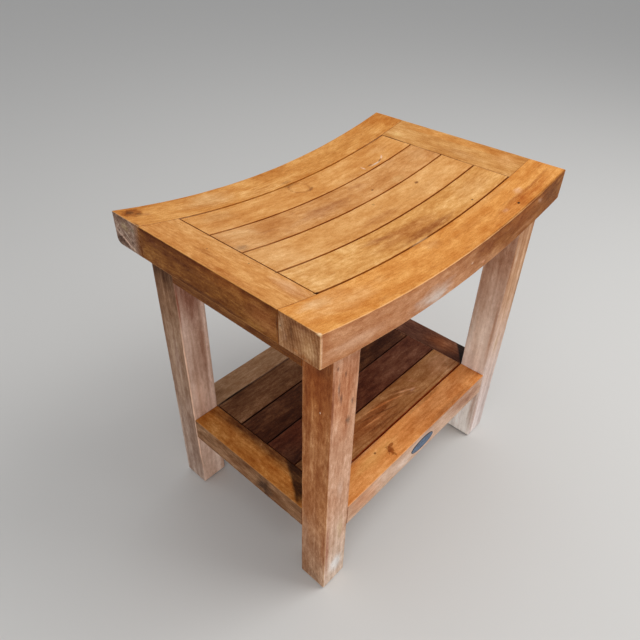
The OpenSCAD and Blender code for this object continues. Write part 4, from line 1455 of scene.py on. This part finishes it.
@dataclass
class Shelf:
    """The shelf between the legs: four rails, four slats and a batten."""

    gap: float = 0.5 * MM

    def build(self) -> None:
        """Builds the rails and the slats, and dresses the batten and both sets of screws."""
        inner = corners_of("leg_back_right")[0]
        for seed, (node, grain, inside) in enumerate((
            ("shelf_rail_front", Grain.ALONG_X, Side.BACK),
            ("shelf_rail_back", Grain.ALONG_X, Side.FRONT),
            ("shelf_end_rail_left", Grain.ALONG_Y, Side.RIGHT),
            ("shelf_end_rail_right", Grain.ALONG_Y, Side.LEFT),
        ), start=51):
            axis = grain.value[0]
            low, high = corners_of(node, axis, inner[axis])
            Board(
                node, grain, low, high, LEG_ARRIS, (ENDS_X, ENDS_Y)[axis], (inside,), None,
                (0.5 * seed, 0.06, 0.07), dents=5, seed=seed,
            ).build("shelf_frame_teak", SHELF_FINISHES[node])
        for number, finish in enumerate(SHELF_SLATS, start=1):
            node = f"shelf_slat_{number}"
            low, high = corners_of(node, 0, inner[0] - self.gap)
            Board(
                node, Grain.ALONG_X, low, high, SLAT_ARRIS, (), ENDS_Y + ENDS_X, None,
                (0.6 * number, 0.01 * number - 0.02, 0.03), dents=2, seed=60 + number,
            ).build("shelf_slat_teak", finish)
        under = Teak(top=Tone(140, 92, 56), front=Tone(140, 92, 56), end=Tone(120, 80, 50))
        dress("batten_teak", under.material("shelf batten", Grain.ALONG_Y, on_board=False), "shelf_batten")
        steel = Plain(Tone(176, 178, 180), Tone(140, 142, 146), 0.35, metallic=1.0).material("screw steel")
        dress("screw_steel", steel, "seat_batten_screws", "shelf_batten_screws")


@dataclass
class Feet:
    """The rubber pads under the legs, turned about their stems."""

    rounding: float = 0.6 * MM
    stem: float = 4 * MM
    points: int = 64

    def build(self) -> None:
        """Turns one profile about each stem: pad, rounded at both rims, and then the stem."""
        rubber = Plain(Tone(34, 32, 31), Tone(52, 49, 47), 0.75).material("pad rubber")
        angle = np.linspace(0, 2 * math.pi, self.points, endpoint=False)
        bow, stem, pad, lip = self.rounding, self.stem, PAD_THICKNESS, 0.5 * MM
        out, up = bow * np.sin(QUARTER), bow * np.cos(QUARTER)
        for corner in ("front_left", "front_right", "back_left", "back_right"):
            node = f"foot_pad_{corner}"
            low, high = corners_of(node)
            flat, tall = (high[0] - low[0]) / 2 - bow, high[2] - low[2]
            reach = np.concatenate([
                [0.3 * (flat + bow), 0.9 * (flat + bow) - bow], flat + out, flat + up,
                [stem + 0.4 * MM, stem, stem, stem - lip, 0.3 * stem],
            ])[:, None]
            level = np.concatenate([
                [0, 0], bow - up, pad - bow + out, [pad, pad + 0.4 * MM, tall - lip, tall, tall],
            ])[:, None]
            x, y, _ = (low + high) / 2
            rings = np.stack([
                x + reach * np.cos(angle), y + reach * np.sin(angle), low[2] + level + 0 * angle,
            ], axis=-1)
            show(ring_mesh(node, rings), node, "pad_rubber", rubber)


@dataclass
class Plate:
    """The blank oval plate on the shelf's front rail, with a raised dark rim."""

    points: int = 96
    rim: float = 1.1
    behind: float = 1.2

    def build(self) -> None:
        """Stacks ellipses from the plate's back to its sunk field.

        Each lies so many millimetres in from the outline and out from the back, and says
        whether it belongs to the rim.
        """
        low, high = corners_of("oval_plate")
        middle, half = (low + high) / 2, (high - low) / 2
        inset, out, bright = np.array([
            (0.0, 0.0, 1), (0.0, 0.9, 1), (0.12, 1.1, 1), (0.35, 1.2, 1), (0.7, 1.2, 1),
            (self.rim - 0.15, 1.12, 1), (self.rim, 0.98, 0), (self.rim + 0.5, 0.95, 0),
            (3.0, 0.95, 0), (5.5, 0.96, 0), (7.2, 0.97, 0),
        ]).T[..., None]
        angle = np.linspace(0, 2 * math.pi, self.points, endpoint=False)
        x = (half[0] - inset * MM) * np.cos(angle) + middle[0]
        z = (half[2] - inset * MM) * np.sin(angle) + middle[2]
        y = low[1] + (self.behind - out) * MM + 0 * angle
        mesh = ring_mesh("oval_plate", np.stack([x, y, z], axis=-1))
        add_attribute(mesh, "rim", np.repeat(bright, self.points))
        enamel = Plain(
            Tone(28, 51, 79), Tone(92, 122, 154), 0.4, grit=1.8 * MM, relief=0.02 * MM, rim=Tone(50, 50, 58)
        )
        show(mesh, "oval_plate", "plate_enamel", enamel.material("plate enamel"))


@dataclass
class Studio:
    """A pale floor, soft light from above, and the camera."""

    eye: Point = (-0.50123, -0.39259, 0.74979)
    aim: Point = (-0.067, -0.0065, 0.300)
    roll: float = math.radians(1.449)
    lens: float = 32.885
    sensor: float = 36.0
    near: float = 0.01
    middle: Point = (0.0, 0.0, 0.25)
    floor_reach: int = 8

    def look(self, place: Point, aim: Point) -> Matrix:
        """Where a camera or a lamp stands that looks from a place at another."""
        turn = (Vector(aim) - Vector(place)).to_track_quat("-Z", "Y").to_matrix().to_4x4()
        return Matrix.Translation(place) @ turn

    def camera(self) -> None:
        """Sets the camera at the photograph's viewing angle."""
        data = bpy.data.cameras.new("camera")
        data.lens, data.sensor_width, data.clip_start = self.lens, self.sensor, self.near
        camera = add_object("camera", data)
        camera.matrix_world = self.look(self.eye, self.aim) @ Matrix.Rotation(self.roll, 4, "Z")
        bpy.context.scene.camera = camera

    def lamp(self, name: str, place: Point, size: float, power: float) -> None:
        """Adds a square soft light that looks at the middle of the bench.

        Args:
            name: Its name.
            place: Its place.
            size: Length of its sides.
            power: Watts.
        """
        data = bpy.data.lights.new(name, "AREA")
        data.size, data.energy = size, power
        add_object(name, data).matrix_world = self.look(place, self.middle)

    def floor(self) -> None:
        """Lays the floor: a grid of squares of a metre, far larger than the view."""
        reach = np.linspace(-self.floor_reach, self.floor_reach, 2 * self.floor_reach + 1)
        x, y = np.meshgrid(reach, reach)
        index = np.arange(x.size).reshape(x.shape)
        quads = np.stack([index[:-1, :-1], index[:-1, 1:], index[1:, 1:], index[1:, :-1]], axis=-1)
        mesh = bpy.data.meshes.new("floor")
        points = np.stack([x, y, 0 * x], axis=-1).reshape(-1, 3)
        mesh.from_pydata(points.tolist(), [], quads.reshape(-1, 4).tolist())
        material, g = new_material("floor")
        g.surface({"Base Color": Tone(214, 212, 208), "Roughness": 0.9})
        mesh.materials.append(material)
        floor = add_object("floor", mesh)

    def world(self) -> None:
        """Fills the room with an even, slightly cool light."""
        world = bpy.data.worlds.new("room")
        world.use_nodes = True
        world.node_tree.nodes.clear()
        g = Graph(world.node_tree)
        light = g.add("Background", {"Color": Tone(246, 248, 252), "Strength": 0.48})
        g.add("OutputWorld", {"Surface": light.outputs[0]})
        bpy.context.scene.world = world

    def build(self) -> None:
        """Sets up camera, floor and light."""
        self.camera()
        self.floor()
        self.world()
        self.lamp("key", (0.9, -1.0, 1.9), 1.3, 23.0)
        self.lamp("top", (0.1, 0.2, 2.3), 1.8, 6.0)
        self.lamp("fill", (-1.7, -0.9, 0.55), 1.4, 11.0)


def main() -> None:
    """Builds the studio and then the bench, sub-assembly by sub-assembly."""
    logging.basicConfig(level=logging.INFO, format="%(name)s: %(message)s")
    bpy.context.scene.view_settings.view_transform = "Standard"
    low, high = corners_of("seat_rail_back")
    dip = high[2] - FRAME_THICKNESS - low[2]
    curve = SeatCurve.through((high[0] - low[0]) / 2, high[2], dip)
    for part in (Studio(), Seat(curve), Stand(curve), Shelf(), Feet(), Plate()):
        LOG.info("building %s", type(part).__name__)
        part.build()
    bpy.context.view_layer.update()


if __name__ == "__main__":
    main()
